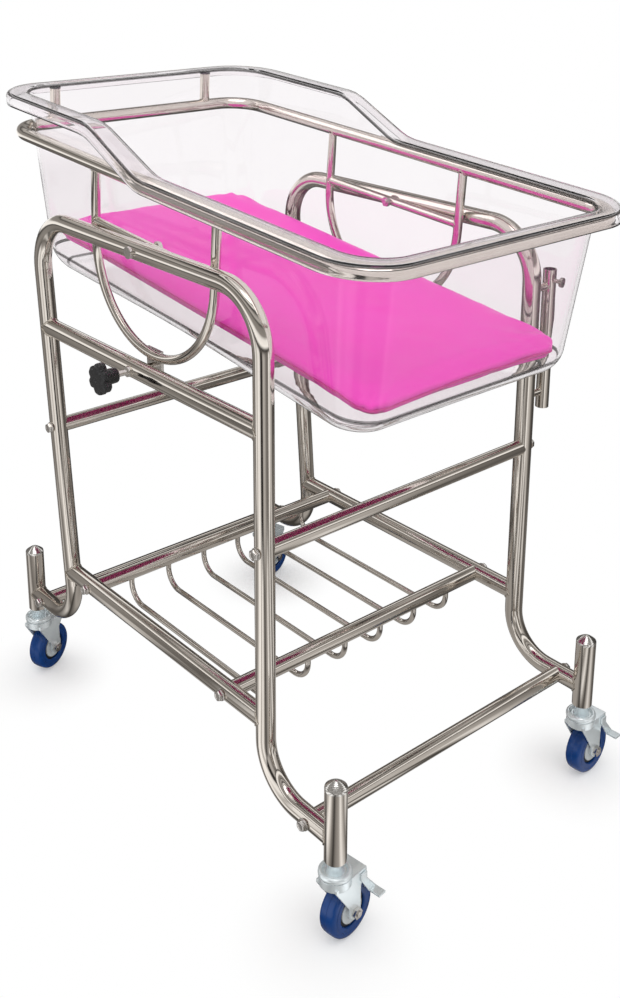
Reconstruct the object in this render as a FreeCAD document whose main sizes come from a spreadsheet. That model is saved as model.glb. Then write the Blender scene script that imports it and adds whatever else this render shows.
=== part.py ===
"""Hospital bassinet: a clear tub with a mattress, hung in a tilting tube frame on a wheeled tube trolley.

Millimetres.  X runs from the head (-) to the foot (+), Y from the near side (-) to the far side (+), Z up
from the floor.  The origin is on the floor under the middle of the trolley.  Each size is a cell of the
sheet, and each piece of the bassinet is one labelled object with its own STEP file.
"""

import FreeCAD, Part
import math
import os
import Sketcher

V = FreeCAD.Vector
UP = V(0, 0, 1)
doc = FreeCAD.newDocument("Bassinet")
sheet = doc.addObject("Spreadsheet::Sheet", "Sizes")
known = {}
pieces = {}


# ---------------------------------------------------------------- the sheet and the small building tools

def size(alias, value):
    """Writes one named size into the sheet and gives its value back."""
    known[alias] = value
    cell = "A%d" % len(known)
    sheet.set(cell, "%.6f" % value)
    sheet.setAlias(cell, alias)
    return value


def bind(thing, **expressions):
    """Ties properties of an object to cells of the sheet."""
    for prop, expression in expressions.items():
        thing.setExpression(prop.replace("__", "."), expression)
    return thing


def facing(base, axis=UP):
    """A placement at base whose own Z axis points along axis."""
    return FreeCAD.Placement(V(*base), FreeCAD.Rotation(UP, V(*axis)))


def cylinder(name, radius, height, base, axis=(0, 0, 1)):
    """A cylinder from base along axis."""
    thing = doc.addObject("Part::Cylinder", name)
    bind(thing, Radius=radius, Height=height)
    thing.Placement = facing(base, axis)
    return thing


def hexagon(name, across_flats, height, base, axis=(0, 0, 1)):
    """A hexagonal prism, such as a bolt's head or a nut."""
    thing = doc.addObject("Part::Prism", name)
    thing.Polygon = 6
    bind(thing, Circumradius="(%s) / sqrt(3)" % across_flats, Height=height)
    thing.Placement = facing(base, axis)
    return thing


def fuse(name, things):
    """One solid from several that meet."""
    thing = doc.addObject("Part::MultiFuse", name)
    thing.Shapes = things
    return thing


def cut(name, base, tools):
    """The base without the tools."""
    thing = doc.addObject("Part::Cut", name)
    thing.Base = base
    thing.Tool = tools[0] if len(tools) == 1 else fuse(name + "Tools", tools)
    return thing


def common(name, things):
    """What several solids share."""
    thing = doc.addObject("Part::MultiCommon", name)
    thing.Shapes = things
    return thing


def group(name, things):
    """Several equal pieces kept together as separate solids."""
    thing = doc.addObject("Part::Compound", name)
    thing.Links = things
    return thing


def piece(node, thing, placement=None):
    """Names a finished piece and puts it where it belongs."""
    thing.Label = node
    if placement is not None:
        thing.Placement = placement
    pieces[node] = thing
    return thing


def outline(sketch, corners, closed=True):
    """Draws straight lines between named corners, each corner bent to its own radius.

    A corner is (cell of its first coordinate, cell of its second, cell of its radius or None).
    """
    points = [V(known[a], known[b], 0) for a, b, bend in corners]
    radii = [known[bend] if bend else 0 for a, b, bend in corners]
    count = len(points)
    spans = count if closed else count - 1

    def setback(index):
        if not radii[index]:
            return 0
        before = (points[index] - points[index - 1]).normalize()
        after = (points[(index + 1) % count] - points[index]).normalize()
        return radii[index] * math.tan(before.getAngle(after) / 2)

    lines = []
    for index in range(spans):
        start, end = points[index], points[(index + 1) % count]
        along = (end - start).normalize()
        line = Part.LineSegment(start + along * setback(index), end - along * setback((index + 1) % count))
        lines.append(sketch.addGeometry(line))
    for index, (first, second, bend) in enumerate(corners):
        last_line = lines[index - 1] if closed or index > 0 else None
        next_line = lines[index] if index < spans else None
        if last_line is None or next_line is None:
            line, end = (next_line, 1) if last_line is None else (last_line, 2)
            place(sketch, line, end, first, second)
        elif not bend:
            sketch.addConstraint(Sketcher.Constraint("Coincident", last_line, 2, next_line, 1))
            place(sketch, next_line, 1, first, second)
        else:
            corner_bend(sketch, points, index, last_line, next_line, radii[index], corners[index])


def place(sketch, item, end, first, second):
    """Fixes a point of a sketch at two cells of the sheet."""
    for kind, alias in (("DistanceX", first), ("DistanceY", second)):
        number = sketch.addConstraint(Sketcher.Constraint(kind, item, end, known[alias]))
        sketch.setExpression("Constraints[%d]" % number, "Sizes." + alias)


def corner_bend(sketch, points, index, last_line, next_line, radius, corner):
    """Joins two lines of a sketch with a tangent arc whose sharp corner stays at its named place."""
    count = len(points)
    before = (points[index] - points[index - 1]).normalize()
    after = (points[(index + 1) % count] - points[index]).normalize()
    turn = before.cross(after).z
    reach = radius * math.tan(before.getAngle(after) / 2)
    side = V(-before.y, before.x, 0) * (1 if turn > 0 else -1)
    centre = points[index] - before * reach + side * radius
    start = points[index] - before * reach - centre
    end = points[index] + after * reach - centre
    if turn < 0:
        start, end = end, start
    first_angle = math.atan2(start.y, start.x)
    last_angle = math.atan2(end.y, end.x)
    circle = Part.Circle(centre, UP, radius)
    arc = sketch.addGeometry(Part.ArcOfCircle(circle, first_angle, last_angle))
    from_end, to_end = (1, 2) if turn > 0 else (2, 1)
    sketch.addConstraint(Sketcher.Constraint("Tangent", last_line, 2, arc, from_end))
    sketch.addConstraint(Sketcher.Constraint("Tangent", arc, to_end, next_line, 1))
    number = sketch.addConstraint(Sketcher.Constraint("Radius", arc, radius))
    sketch.setExpression("Constraints[%d]" % number, "Sizes." + corner[2])
    mark = sketch.addGeometry(Part.Point(points[index]), True)
    sketch.addConstraint(Sketcher.Constraint("PointOnObject", mark, 1, last_line))
    sketch.addConstraint(Sketcher.Constraint("PointOnObject", mark, 1, next_line))
    place(sketch, mark, 1, corner[0], corner[1])


def ring_of(sketch, outer, wall):
    """Draws a tube's section about the sketch's origin: two circles, or one if the bar is solid."""
    radii = [outer] if wall is None else [outer, "%s - %s" % (outer, wall)]
    for number, radius in enumerate(radii):
        first_guess = len(radii) - number
        circle = sketch.addGeometry(Part.Circle(V(0, 0, 0), UP, first_guess))
        sketch.addConstraint(Sketcher.Constraint("Coincident", circle, 3, -1, 1))
        constraint = sketch.addConstraint(Sketcher.Constraint("Radius", circle, first_guess))
        sketch.setExpression("Constraints[%d]" % constraint, radius)


def origin_plane(body, role):
    """One of the body's own origin planes, such as XY_Plane."""
    return next(feature for feature in body.Origin.OriginFeatures if feature.Role == role)


def sketch_on(body, name, role, x="0", y="0", z="0"):
    """A sketch of the body on one of its origin planes, shifted in the sketch's own directions."""
    sketch = body.newObject("Sketcher::SketchObject", name)
    sketch.AttachmentSupport = [(origin_plane(body, role), "")]
    sketch.MapMode = "FlatFace"
    bind(sketch, AttachmentOffset__Base__x=x, AttachmentOffset__Base__y=y, AttachmentOffset__Base__z=z)
    return sketch


def bent_tube(name, path_plane, corners, closed, section_plane, section_at, outer, wall):
    """A body swept along a bent centre line; section_at holds the section's shift on its plane."""
    body = doc.addObject("PartDesign::Body", name)
    path = sketch_on(body, name + "Path", path_plane)
    outline(path, corners, closed)
    section = sketch_on(body, name + "Section", section_plane, *section_at)
    ring_of(section, outer, wall)
    doc.recompute()
    pipe = body.newObject("PartDesign::AdditivePipe", name + "Pipe")
    pipe.Profile = section
    pipe.Spine = (path, [])
    body.Tip = pipe
    return body


def straight_tube(name, outer, wall, length, base, axis):
    """A straight tube from base along axis, open at both ends."""
    skin = cylinder(name + "Skin", outer, length, base, axis)
    bore = cylinder(name + "Bore", "%s - %s" % (outer, wall), length, base, axis)
    return cut(name, skin, [bore])


# ---------------------------------------------------------------- driving sizes of the trolley

half_width = size("half_width", 235)
tube_radius = size("tube_radius", 12.7)
tube_wall = size("tube_wall", 1.5)
base_z = size("base_z", 146)
lower_z = size("lower_z", 237)
upper_z = size("upper_z", 469.4)
middle_z = size("middle_z", 621.5)
top_z = size("top_z", 786)
foot_leg_x = size("foot_leg_x", 231)
head_leg_base_x = size("head_leg_base_x", -233)
head_leg_top_x = size("head_leg_top_x", -284)
size("base_bend", 65)
size("top_bend", 72)
weld_reach = size("weld_reach", 6 * tube_radius)
head_lean = (head_leg_top_x - head_leg_base_x) / (top_z - base_z)
inner_face = half_width - tube_radius
outer_face = half_width + tube_radius

post_x = size("post_x", 362)
post_radius = size("post_radius", 14)
post_wall = size("post_wall", 2)
wheel_radius = size("wheel_radius", 37.5)
wheel_clear = size("wheel_clear", 11)
crown_thick = size("crown_thick", 5)
race_height = size("race_height", 6)
race_gap = size("race_gap", 0.3)
cup_height = size("cup_height", 7.7)
collar_height = size("collar_height", 13.3)
crown_low = size("crown_low", 2 * wheel_radius + wheel_clear)
crown_high = size("crown_high", crown_low + crown_thick)
race_high = size("race_high", crown_high + race_height)
stem_shoulder = size("stem_shoulder", race_high + race_gap + cup_height)
post_bottom = size("post_bottom", stem_shoulder + collar_height)
post_rim = size("post_rim", 216)
post_top = size("post_top", 228.5)
size("post_length", post_rim - post_bottom)
size("head_post_x", -post_x)

bar_radius = size("bar_radius", 11)
bar_wall = size("bar_wall", 1.5)
bar_plug = size("bar_plug", 20)
base_bar_head_x = size("base_bar_head_x", -329)
base_bar_foot_x = size("base_bar_foot_x", 319)
shelf_head_x = size("shelf_head_x", -179)
shelf_foot_x = size("shelf_foot_x", 155)

bolt_radius = size("bolt_radius", 4)
size("bolt_hole", 4.2)
size("snug_hole", 4.05)
size("bolt_flats", 13)
size("bolt_head", 5.3)
washer_radius = size("washer_radius", 8)
washer_thick = size("washer_thick", 1.5)
bolt_in_plug = size("bolt_in_plug", 0.75)
size("bolt_length", 2 * tube_radius + bolt_in_plug * bar_plug)

pivot_x = size("pivot_x", -24)
lock_x = size("lock_x", -38)


def head_leg_x(height):
    """Where the centre of the leaning head leg is at a height."""
    return head_leg_base_x + head_lean * (height - base_z)


HEAD_LEG = (head_lean, 0, 1)
SIDES = {"near": -1, "far": 1}
BOLTED = {
    "base_head": (base_bar_head_x, base_z, (1, 0, 0)),
    "base_foot": (base_bar_foot_x, base_z, (1, 0, 0)),
    "shelf_head": (shelf_head_x, lower_z, (1, 0, 0)),
    "shelf_foot": (shelf_foot_x, lower_z, (1, 0, 0)),
    "upper_head": (head_leg_x(upper_z), upper_z, HEAD_LEG),
    "upper_foot": (foot_leg_x, upper_z, (0, 0, 1)),
}


# ---------------------------------------------------------------- the two side frames and their rails

def hole_through(name, radius, x, side, z):
    """A drill along Y through one side of the trolley."""
    start = (x, side * (half_width + 2 * tube_radius), z)
    return cylinder(name, radius, "4 * Sizes.tube_radius", start, (0, -side, 0))


def leg_stand_in(name, at, axis, side):
    """A solid the size of a tube of the side frame, to shape the end that is welded against it."""
    start = [at[i] - axis[i] * weld_reach / 2 for i in range(2)]
    base = (start[0], side * half_width, start[1])
    return cylinder(name, "Sizes.tube_radius", "Sizes.weld_reach", base, (axis[0], 0, axis[1]))


def side_frame(side_name, side):
    """One continuous bent tube: base run, leaning head leg, top, upright foot leg, base run."""
    corners = [
        ("head_post_x", "base_z", None),
        ("head_leg_base_x", "base_z", "base_bend"),
        ("head_leg_top_x", "top_z", "top_bend"),
        ("foot_leg_x", "top_z", "top_bend"),
        ("foot_leg_x", "base_z", "base_bend"),
        ("post_x", "base_z", None),
    ]
    name = "Frame" + side_name
    start = ("0", "Sizes.base_z", "Sizes.head_post_x")
    tube = bent_tube(name, "XZ_Plane", corners, False, "YZ_Plane", start,
                     "Sizes.tube_radius", "Sizes.tube_wall")
    tube.Placement = facing((0, side * half_width, 0))
    tools = []
    for end in (-1, 1):
        base = (end * post_x, side * half_width, post_bottom)
        tools.append(cylinder("%sPost%d" % (name, end), "Sizes.post_radius", "Sizes.post_length", base))
    for place_name in ("base_head", "base_foot", "upper_head", "upper_foot"):
        x, z, axis = BOLTED[place_name]
        tools.append(hole_through(name + "Drill_" + place_name, "Sizes.bolt_hole", x, side, z))
    tools.append(hole_through(name + "PivotDrill", "Sizes.bolt_hole", pivot_x, side, top_z))
    piece("side_frame_" + side_name, cut("SideFrame_" + side_name, tube, tools))


def rail(node, side, z, drills):
    """A straight rail welded between the two legs of a side frame."""
    start = head_leg_x(z)
    length = size(node + "_length", foot_leg_x - start)
    tube = straight_tube(node + "Tube", "Sizes.tube_radius", "Sizes.tube_wall", "Sizes." + node + "_length",
                         (start, side * half_width, z), (1, 0, 0))
    legs = [
        leg_stand_in(node + "_head_leg", (start, z), (head_lean, 1), side),
        leg_stand_in(node + "_foot_leg", (start + length, z), (0, 1), side),
    ]
    holes = [hole_through("%sDrill%d" % (node, number), radius, x, side, z)
             for number, (x, radius) in enumerate(drills)]
    piece(node, cut(node + "Rail", tube, legs + holes))


size("boss_radius", 7)
for side_name, side in SIDES.items():
    side_frame(side_name, side)
    rail("middle_rail_" + side_name, side, middle_z, [(lock_x, "Sizes.boss_radius")] if side < 0 else [])
    rail("lower_rail_" + side_name, side, lower_z,
         [(shelf_head_x, "Sizes.bolt_hole"), (shelf_foot_x, "Sizes.bolt_hole")])


# ---------------------------------------------------------------- cross bars and the bolts that hold them

def cross_bar(place_name):
    """A tube across the trolley with a tapped plug in each end, shaped to the tubes it is bolted to."""
    x, z, axis = BOLTED[place_name]
    name = "Bar_" + place_name
    length = "2 * Sizes.half_width"
    skin = cylinder(name + "Skin", "Sizes.bar_radius", length, (x, -half_width, z), (0, 1, 0))
    hollow = "2 * (Sizes.half_width - Sizes.tube_radius - Sizes.bar_plug)"
    cavity = cylinder(name + "Cavity", "Sizes.bar_radius - Sizes.bar_wall", hollow,
                      (x, -inner_face + bar_plug, z), (0, 1, 0))
    thread = cylinder(name + "Thread", "Sizes.snug_hole", length, (x, -half_width, z), (0, 1, 0))
    legs = [leg_stand_in("bar_%s_%s_leg" % (place_name, side_name), (x, z), (axis[0], axis[2]), side)
            for side_name, side in SIDES.items()]
    piece(place_name + "_bar", cut(name, skin, [cavity, thread] + legs))


def bolt(name, x, side, z, outside, length):
    """A hexagon bolt with its washer, put in from outside one side frame."""
    outward = (0, side, 0)
    seat = (x, side * outside, z)
    under_head = (x, side * (outside + washer_thick), z)
    shank = cylinder(name + "Shank", "Sizes.bolt_radius", length, under_head, (0, -side, 0))
    washer = cylinder(name + "Washer", "Sizes.washer_radius", "Sizes.washer_thick", seat, outward)
    head = hexagon(name + "Head", "Sizes.bolt_flats", "Sizes.bolt_head", under_head, outward)
    return fuse(name, [shank, washer, head])


for place_name in BOLTED:
    cross_bar(place_name)
bolts = [bolt("Bolt_%s_%s" % (place_name, side_name), x, side, z, outer_face, "Sizes.bolt_length")
         for place_name, (x, z, axis) in BOLTED.items() for side_name, side in SIDES.items()]
piece("frame_bolts", group("FrameBolts", bolts))


# ---------------------------------------------------------------- basket of U-bent rods under the shelf tubes

size("rod_radius", 4)
rod_top = size("rod_top", lower_z - bar_radius)
size("rod_run_z", 192)
size("rod_bend", 28)
rod_pitch = size("rod_pitch", 67.5)
ROD_COUNT = 6


def basket_rod(number):
    """One rod that drops from the head shelf tube, runs along the basket and rises to the foot one."""
    corners = [
        ("shelf_head_x", "rod_top", None),
        ("shelf_head_x", "rod_run_z", "rod_bend"),
        ("shelf_foot_x", "rod_run_z", "rod_bend"),
        ("shelf_foot_x", "rod_top", None),
    ]
    start = ("Sizes.shelf_head_x", "0", "Sizes.rod_top")
    rod = bent_tube("Rod%d" % number, "XZ_Plane", corners, False, "XY_Plane", start, "Sizes.rod_radius", None)
    rod.Placement = facing((0, (number - (ROD_COUNT - 1) / 2) * rod_pitch, 0))
    return rod


piece("basket_rods", group("BasketRods", [basket_rod(number) for number in range(ROD_COUNT)]))


# ---------------------------------------------------------------- upright posts over the casters

size("cap_sphere", 19)


def post_cap(name, x, y):
    """A pressed cap with a domed top."""
    wall = cylinder(name + "Wall", "Sizes.post_radius", "Sizes.post_top - Sizes.post_rim", (x, y, post_rim))
    dome = doc.addObject("Part::Sphere", name + "Dome")
    bind(dome, Radius="Sizes.cap_sphere")
    dome.Placement = facing((x, y, post_top - known["cap_sphere"]))
    return common(name, [wall, dome])


CORNERS = {
    "head_near": (-post_x, -half_width),
    "head_far": (-post_x, half_width),
    "foot_near": (post_x, -half_width),
    "foot_far": (post_x, half_width),
}
for corner_name, (x, y) in CORNERS.items():
    piece("caster_post_" + corner_name,
          straight_tube("Post_" + corner_name, "Sizes.post_radius", "Sizes.post_wall", "Sizes.post_length",
                        (x, y, post_bottom), (0, 0, 1)))
piece("post_caps", group("PostCaps", [post_cap("Cap_" + corner_name, x, y)
                                      for corner_name, (x, y) in CORNERS.items()]))


# ---------------------------------------------------------------- casters: stem, fork, wheel, axle, brake pedal

tyre_width = size("tyre_width", 24)
tyre_shoulder = size("tyre_shoulder", 7)
size("hub_radius", 22)
hub_width = size("hub_width", 15)
size("cover_radius", 18)
cover_width = size("cover_width", 21)
boss_width = size("boss_width", 26.4)
size("hub_boss_radius", 9.5)
trail = size("trail", 20)
fork_gap = size("fork_gap", 13.6)
fork_plate = size("fork_plate", 2.4)
size("race_radius", 20)
size("cup_radius", 21)
size("kingpin_radius", 5)
size("kingpin_hole", 5.06)
size("collar_radius", 11.5)
size("plug_radius", post_radius - post_wall)
plug_length = size("plug_length", 25)
rivet_drop = size("rivet_drop", 3.5)
rivet_low = size("rivet_low", crown_low - rivet_drop)
size("rivet_radius", 8)
size("axle_radius", 4)
size("axle_hole", 4.06)
fork_outside = fork_gap + fork_plate
axle_proud = size("axle_proud", 1.7)
axle_half = size("axle_half", fork_outside + known["bolt_head"] + axle_proud)
size("fork_front", -16)
size("fork_front_low", crown_low)
fork_end = size("fork_end", 10)
size("fork_toe", trail - fork_end)
size("fork_heel", trail + fork_end)
size("fork_low", wheel_radius - fork_end)
size("fork_knee", wheel_radius + size("fork_knee_rise", 8.5))
size("fork_waist", crown_low - size("fork_waist_drop", 16))
size("fork_back", 40)
size("fork_back_low", crown_low - size("fork_back_drop", 2))
size("fork_round", 9.6)
pedal_x = size("pedal_x", 33)
pedal_z = size("pedal_z", crown_low - size("pedal_drop", 4.5))
size("pedal_pin", 2.5)
size("pedal_hole", 2.56)
HEADINGS = {"head_near": 112.5, "head_far": 104, "foot_near": 98, "foot_far": 94}


def caster_stem(name):
    """The fixed upper part: plug in the post, collar, upper race cup, kingpin and its riveted end."""
    below_cup = race_high + race_gap
    return fuse(name, [
        cylinder(name + "Plug", "Sizes.plug_radius", "Sizes.plug_length", (0, 0, post_bottom)),
        cylinder(name + "Collar", "Sizes.collar_radius", "Sizes.post_bottom - Sizes.stem_shoulder",
                 (0, 0, stem_shoulder)),
        cylinder(name + "Cup", "Sizes.cup_radius", "Sizes.stem_shoulder - Sizes.race_high - Sizes.race_gap",
                 (0, 0, below_cup)),
        cylinder(name + "Kingpin", "Sizes.kingpin_radius", "Sizes.stem_shoulder - Sizes.rivet_low",
                 (0, 0, rivet_low)),
        cylinder(name + "Rivet", "Sizes.rivet_radius", "Sizes.crown_low - Sizes.rivet_low - Sizes.race_gap",
                 (0, 0, rivet_low)),
    ])


def caster_fork(name, braked):
    """A pressed fork: raised race ring, crown plate with a back arm, and two cheeks that taper to the axle."""
    body = doc.addObject("PartDesign::Body", name + "Cheeks")
    profile = sketch_on(body, name + "Profile", "XZ_Plane")
    outline(profile, [
        ("fork_front", "crown_high", None),
        ("fork_front", "fork_front_low", None),
        ("fork_toe", "fork_knee", None),
        ("fork_toe", "fork_low", "fork_round"),
        ("fork_heel", "fork_low", "fork_round"),
        ("fork_heel", "fork_waist", None),
        ("fork_back", "fork_back_low", None),
        ("fork_back", "crown_high", None),
    ])
    pad = body.newObject("PartDesign::Pad", name + "Pad")
    pad.Profile = profile
    pad.Midplane = True
    bind(pad, Length="2 * (Sizes.fork_gap + Sizes.fork_plate)")
    body.Tip = pad
    race = cylinder(name + "Race", "Sizes.race_radius", "Sizes.race_high - Sizes.crown_low",
                    (0, 0, crown_low))
    slot = doc.addObject("Part::Box", name + "Slot")
    bind(slot, Length="6 * Sizes.wheel_radius", Width="2 * Sizes.fork_gap", Height="Sizes.crown_low")
    slot.Placement = facing((-3 * wheel_radius, -fork_gap, 0))
    kingpin = cylinder(name + "KingpinHole", "Sizes.kingpin_hole", "2 * Sizes.wheel_radius",
                       (0, 0, wheel_radius))
    axle = cylinder(name + "AxleHole", "Sizes.axle_radius", "4 * Sizes.fork_gap",
                    (trail, -2 * fork_gap, wheel_radius), (0, 1, 0))
    holes = [slot, kingpin, axle]
    if braked:
        holes.append(cylinder(name + "PedalHole", "Sizes.pedal_hole", "4 * Sizes.fork_gap",
                              (pedal_x, -2 * fork_gap, pedal_z), (0, 1, 0)))
    return cut(name, fuse(name + "Blank", [body, race]), holes)


def tyre(name):
    """The solid tread ring, rounded at both shoulders."""
    blank = cylinder(name + "Blank", "Sizes.wheel_radius", "Sizes.tyre_width",
                     (trail, -tyre_width / 2, wheel_radius), (0, 1, 0))
    doc.recompute()
    rounded = doc.addObject("Part::Fillet", name + "Rounded")
    rounded.Base = blank
    rims = [number for number, edge in enumerate(blank.Shape.Edges, 1)
            if edge.Closed and isinstance(edge.Curve, Part.Circle)]
    rounded.Edges = [(number, tyre_shoulder, tyre_shoulder) for number in rims]
    bore = cylinder(name + "Bore", "Sizes.hub_radius", "2 * Sizes.tyre_width",
                    (trail, -tyre_width, wheel_radius), (0, 1, 0))
    return cut(name, rounded, [bore])


def hub(name):
    """The wheel's centre disc with a longer boss that runs on the axle."""
    def disc(label, radius, width, half):
        return cylinder(name + label, radius, width, (trail, -half, wheel_radius), (0, 1, 0))

    blank = fuse(name + "Blank", [
        disc("Disc", "Sizes.hub_radius", "Sizes.hub_width", hub_width / 2),
        disc("Cover", "Sizes.cover_radius", "Sizes.cover_width", cover_width / 2),
        disc("Boss", "Sizes.hub_boss_radius", "Sizes.boss_width", boss_width / 2),
    ])
    return cut(name, blank, [disc("Bore", "Sizes.axle_hole", "2 * Sizes.boss_width", boss_width)])


def axle_bolt(name):
    """The axle: a bolt through both cheeks with a nut on the other side."""
    shank = cylinder(name + "Shank", "Sizes.axle_radius", "2 * Sizes.axle_half",
                     (trail, -axle_half, wheel_radius), (0, 1, 0))
    head = hexagon(name + "Head", "Sizes.bolt_flats", "Sizes.bolt_head",
                   (trail, -fork_outside, wheel_radius), (0, -1, 0))
    nut = hexagon(name + "Nut", "Sizes.bolt_flats", "Sizes.bolt_head",
                  (trail, fork_outside, wheel_radius), (0, 1, 0))
    return fuse(name, [shank, head, nut])


pedal_play = size("pedal_play", 0.4)
pedal_plate = size("pedal_plate", 2.4)
pedal_arm_y = size("pedal_arm_y", -(fork_outside + pedal_play + pedal_plate))
cam_half = size("cam_half", fork_gap - pedal_play)
size("cam_radius", 4)
size("pedal_pin_end", fork_outside + known["pedal_pin"] - size("pedal_pin_short", 0.5))
size("arm_top_back", 38)
size("arm_top_front", 28)
size("arm_top", pedal_z + size("arm_rise", 5.5))
size("arm_knee", pedal_z - size("arm_fall", 3.5))
size("tab_back", 55)
tab_front = size("tab_front", 43)
tab_low = size("tab_low", pedal_z - size("tab_fall", 28))
size("tab_high", tab_low + size("tab_sheet", 2.5))
tab_out = size("tab_out", 34)


def brake_pedal(name):
    """A lever on a cross pin in the fork: a cam above the tyre, an outside arm and a tab for the foot."""
    body = doc.addObject("PartDesign::Body", name + "Arm")
    profile = sketch_on(body, name + "Profile", "XZ_Plane", z="-Sizes.pedal_arm_y")
    outline(profile, [
        ("arm_top_front", "arm_top", None),
        ("arm_top_front", "arm_knee", None),
        ("tab_front", "tab_low", None),
        ("tab_back", "tab_low", None),
        ("tab_back", "tab_high", None),
        ("arm_top_back", "arm_knee", None),
        ("arm_top_back", "arm_top", None),
    ])
    pad = body.newObject("PartDesign::Pad", name + "Pad")
    pad.Profile = profile
    pad.Reversed = True
    bind(pad, Length="Sizes.pedal_plate")
    body.Tip = pad
    pin = cylinder(name + "Pin", "Sizes.pedal_pin", "Sizes.pedal_pin_end - Sizes.pedal_arm_y",
                   (pedal_x, pedal_arm_y, pedal_z), (0, 1, 0))
    cam = cylinder(name + "Cam", "Sizes.cam_radius", "2 * Sizes.cam_half",
                   (pedal_x, -cam_half, pedal_z), (0, 1, 0))
    tab = doc.addObject("Part::Box", name + "Tab")
    bind(tab, Length="Sizes.tab_back - Sizes.tab_front",
         Width="Sizes.tab_out + Sizes.pedal_arm_y + Sizes.pedal_plate",
         Height="Sizes.tab_high - Sizes.tab_low")
    tab.Placement = facing((tab_front, -tab_out, tab_low))
    return fuse(name, [body, pin, cam, tab])


stems = []
for corner_name, (x, y) in CORNERS.items():
    braked = corner_name.startswith("foot")
    where = FreeCAD.Placement(V(x, y, 0), FreeCAD.Rotation(UP, HEADINGS[corner_name]))
    stem = caster_stem("Stem_" + corner_name)
    stem.Placement = where
    stems.append(stem)
    piece("caster_fork_" + corner_name, caster_fork("Fork_" + corner_name, braked), where)
    piece("tyre_" + corner_name, tyre("Tyre_" + corner_name), where)
    piece("wheel_hub_" + corner_name, hub("Hub_" + corner_name), where)
    piece("axle_bolt_" + corner_name, axle_bolt("Axle_" + corner_name), where)
    if braked:
        piece("brake_pedal_" + corner_name, brake_pedal("Pedal_" + corner_name), where)
piece("caster_stems", group("CasterStems", stems))


# ---------------------------------------------------------------- tilting frame: ring, rocker loops, pivots

tilt = size("tilt", 4.3)
TILTED = FreeCAD.Placement(V(pivot_x, 0, top_z), FreeCAD.Rotation(V(0, 1, 0), tilt))
ring_radius = size("ring_radius", 9.5)
size("ring_wall", 1.2)
size("ring_vent", 3)
head_post_y = size("head_post_y", 139)
ring_z = size("ring_z", 81.5)
ring_head = size("ring_head", -376)
ring_foot = size("ring_foot", 406)
ring_bend = size("ring_bend", 55)
size("ring_start", ring_head + ring_bend)
loop_radius = size("loop_radius", 6.35)
size("loop_wall", 1.2)
pivot_play = size("pivot_play", 0.3)
spacer_thick = size("spacer_thick", 1.65)
loop_y = size("loop_y", inner_face - spacer_thick - pivot_play - loop_radius)
ring_far = size("ring_far", loop_y + size("ring_over_loop", 3))
size("ring_near", -ring_far)
loop_arm = size("loop_arm", 137)
size("loop_head", -loop_arm)
size("loop_top", ring_z - size("loop_in_ring", 0.6) * ring_radius)
lock_rise = size("lock_rise", 17.5)
size("loop_low", middle_z + lock_rise - top_z)
size("loop_bend", 135)


def tub_ring():
    """The rounded rectangle of tube that carries the tub, vented inside the foot of each head post."""
    corners = [
        ("ring_head", "ring_near", "ring_bend"),
        ("ring_foot", "ring_near", "ring_bend"),
        ("ring_foot", "ring_far", "ring_bend"),
        ("ring_head", "ring_far", "ring_bend"),
    ]
    start = ("Sizes.ring_near", "0", "Sizes.ring_start")
    skin = bent_tube("Ring", "XY_Plane", corners, True, "YZ_Plane", start, "Sizes.ring_radius", None)
    bore = bent_tube("RingBore", "XY_Plane", corners, True, "YZ_Plane", start,
                     "Sizes.ring_radius - Sizes.ring_wall", None)
    vents = [cylinder("RingVent_" + side_name, "Sizes.ring_vent", "2 * Sizes.ring_radius",
                      (ring_head, side * head_post_y, 0)) for side_name, side in SIDES.items()]
    piece("tub_ring", cut("TubRing", skin, [bore] + vents), TILTED * facing((0, 0, ring_z)))


def rocker_loop(side_name, side):
    """A U-shaped tube welded under the ring; the lock grips its round bottom."""
    corners = [
        ("loop_head", "loop_top", None),
        ("loop_head", "loop_low", "loop_bend"),
        ("loop_arm", "loop_low", "loop_bend"),
        ("loop_arm", "loop_top", None),
    ]
    name = "Loop" + side_name
    start = ("Sizes.loop_head", "0", "Sizes.loop_top")
    tube = bent_tube(name, "XZ_Plane", corners, False, "XY_Plane", start,
                     "Sizes.loop_radius", "Sizes.loop_wall")
    tube.Placement = facing((0, side * loop_y, 0))
    ring_side = cylinder(name + "RingSide", "Sizes.ring_radius", "4 * Sizes.loop_arm",
                         (-2 * loop_arm, side * ring_far, ring_z), (1, 0, 0))
    piece("rocker_loop_" + side_name, cut("RockerLoop_" + side_name, tube, [ring_side]), TILTED)


def rocker_bar(side_name, side):
    """The bar across the loop's arms that turns on the pivot bolt."""
    name = "Rocker" + side_name
    skin = cylinder(name + "Skin", "Sizes.loop_radius", "2 * Sizes.loop_arm",
                    (-loop_arm, side * loop_y, 0), (1, 0, 0))
    arms = [cylinder("%sArm%d" % (name, end), "Sizes.loop_radius", "8 * Sizes.loop_radius",
                     (end * loop_arm, side * loop_y, -4 * loop_radius)) for end in (-1, 1)]
    bore = cylinder(name + "Bore", "Sizes.snug_hole", "4 * Sizes.loop_radius",
                    (0, side * loop_y - 2 * loop_radius, 0), (0, 1, 0))
    piece("rocker_bar_" + side_name, cut("RockerBar_" + side_name, skin, arms + [bore]), TILTED)


tub_ring()
for side_name, side in SIDES.items():
    rocker_loop(side_name, side)
    rocker_bar(side_name, side)

size("head_post_radius", 8)
size("head_post_wall", 1.2)
head_post_top = size("head_post_top", 133)
size("head_post_length", head_post_top - ring_z)
size("head_cap_radius", 8.2)
size("head_cap_height", 3)
head_post_out = size("head_post_out", 2.6)
head_post_line = size("head_post_line", ring_head - head_post_out)


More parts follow.
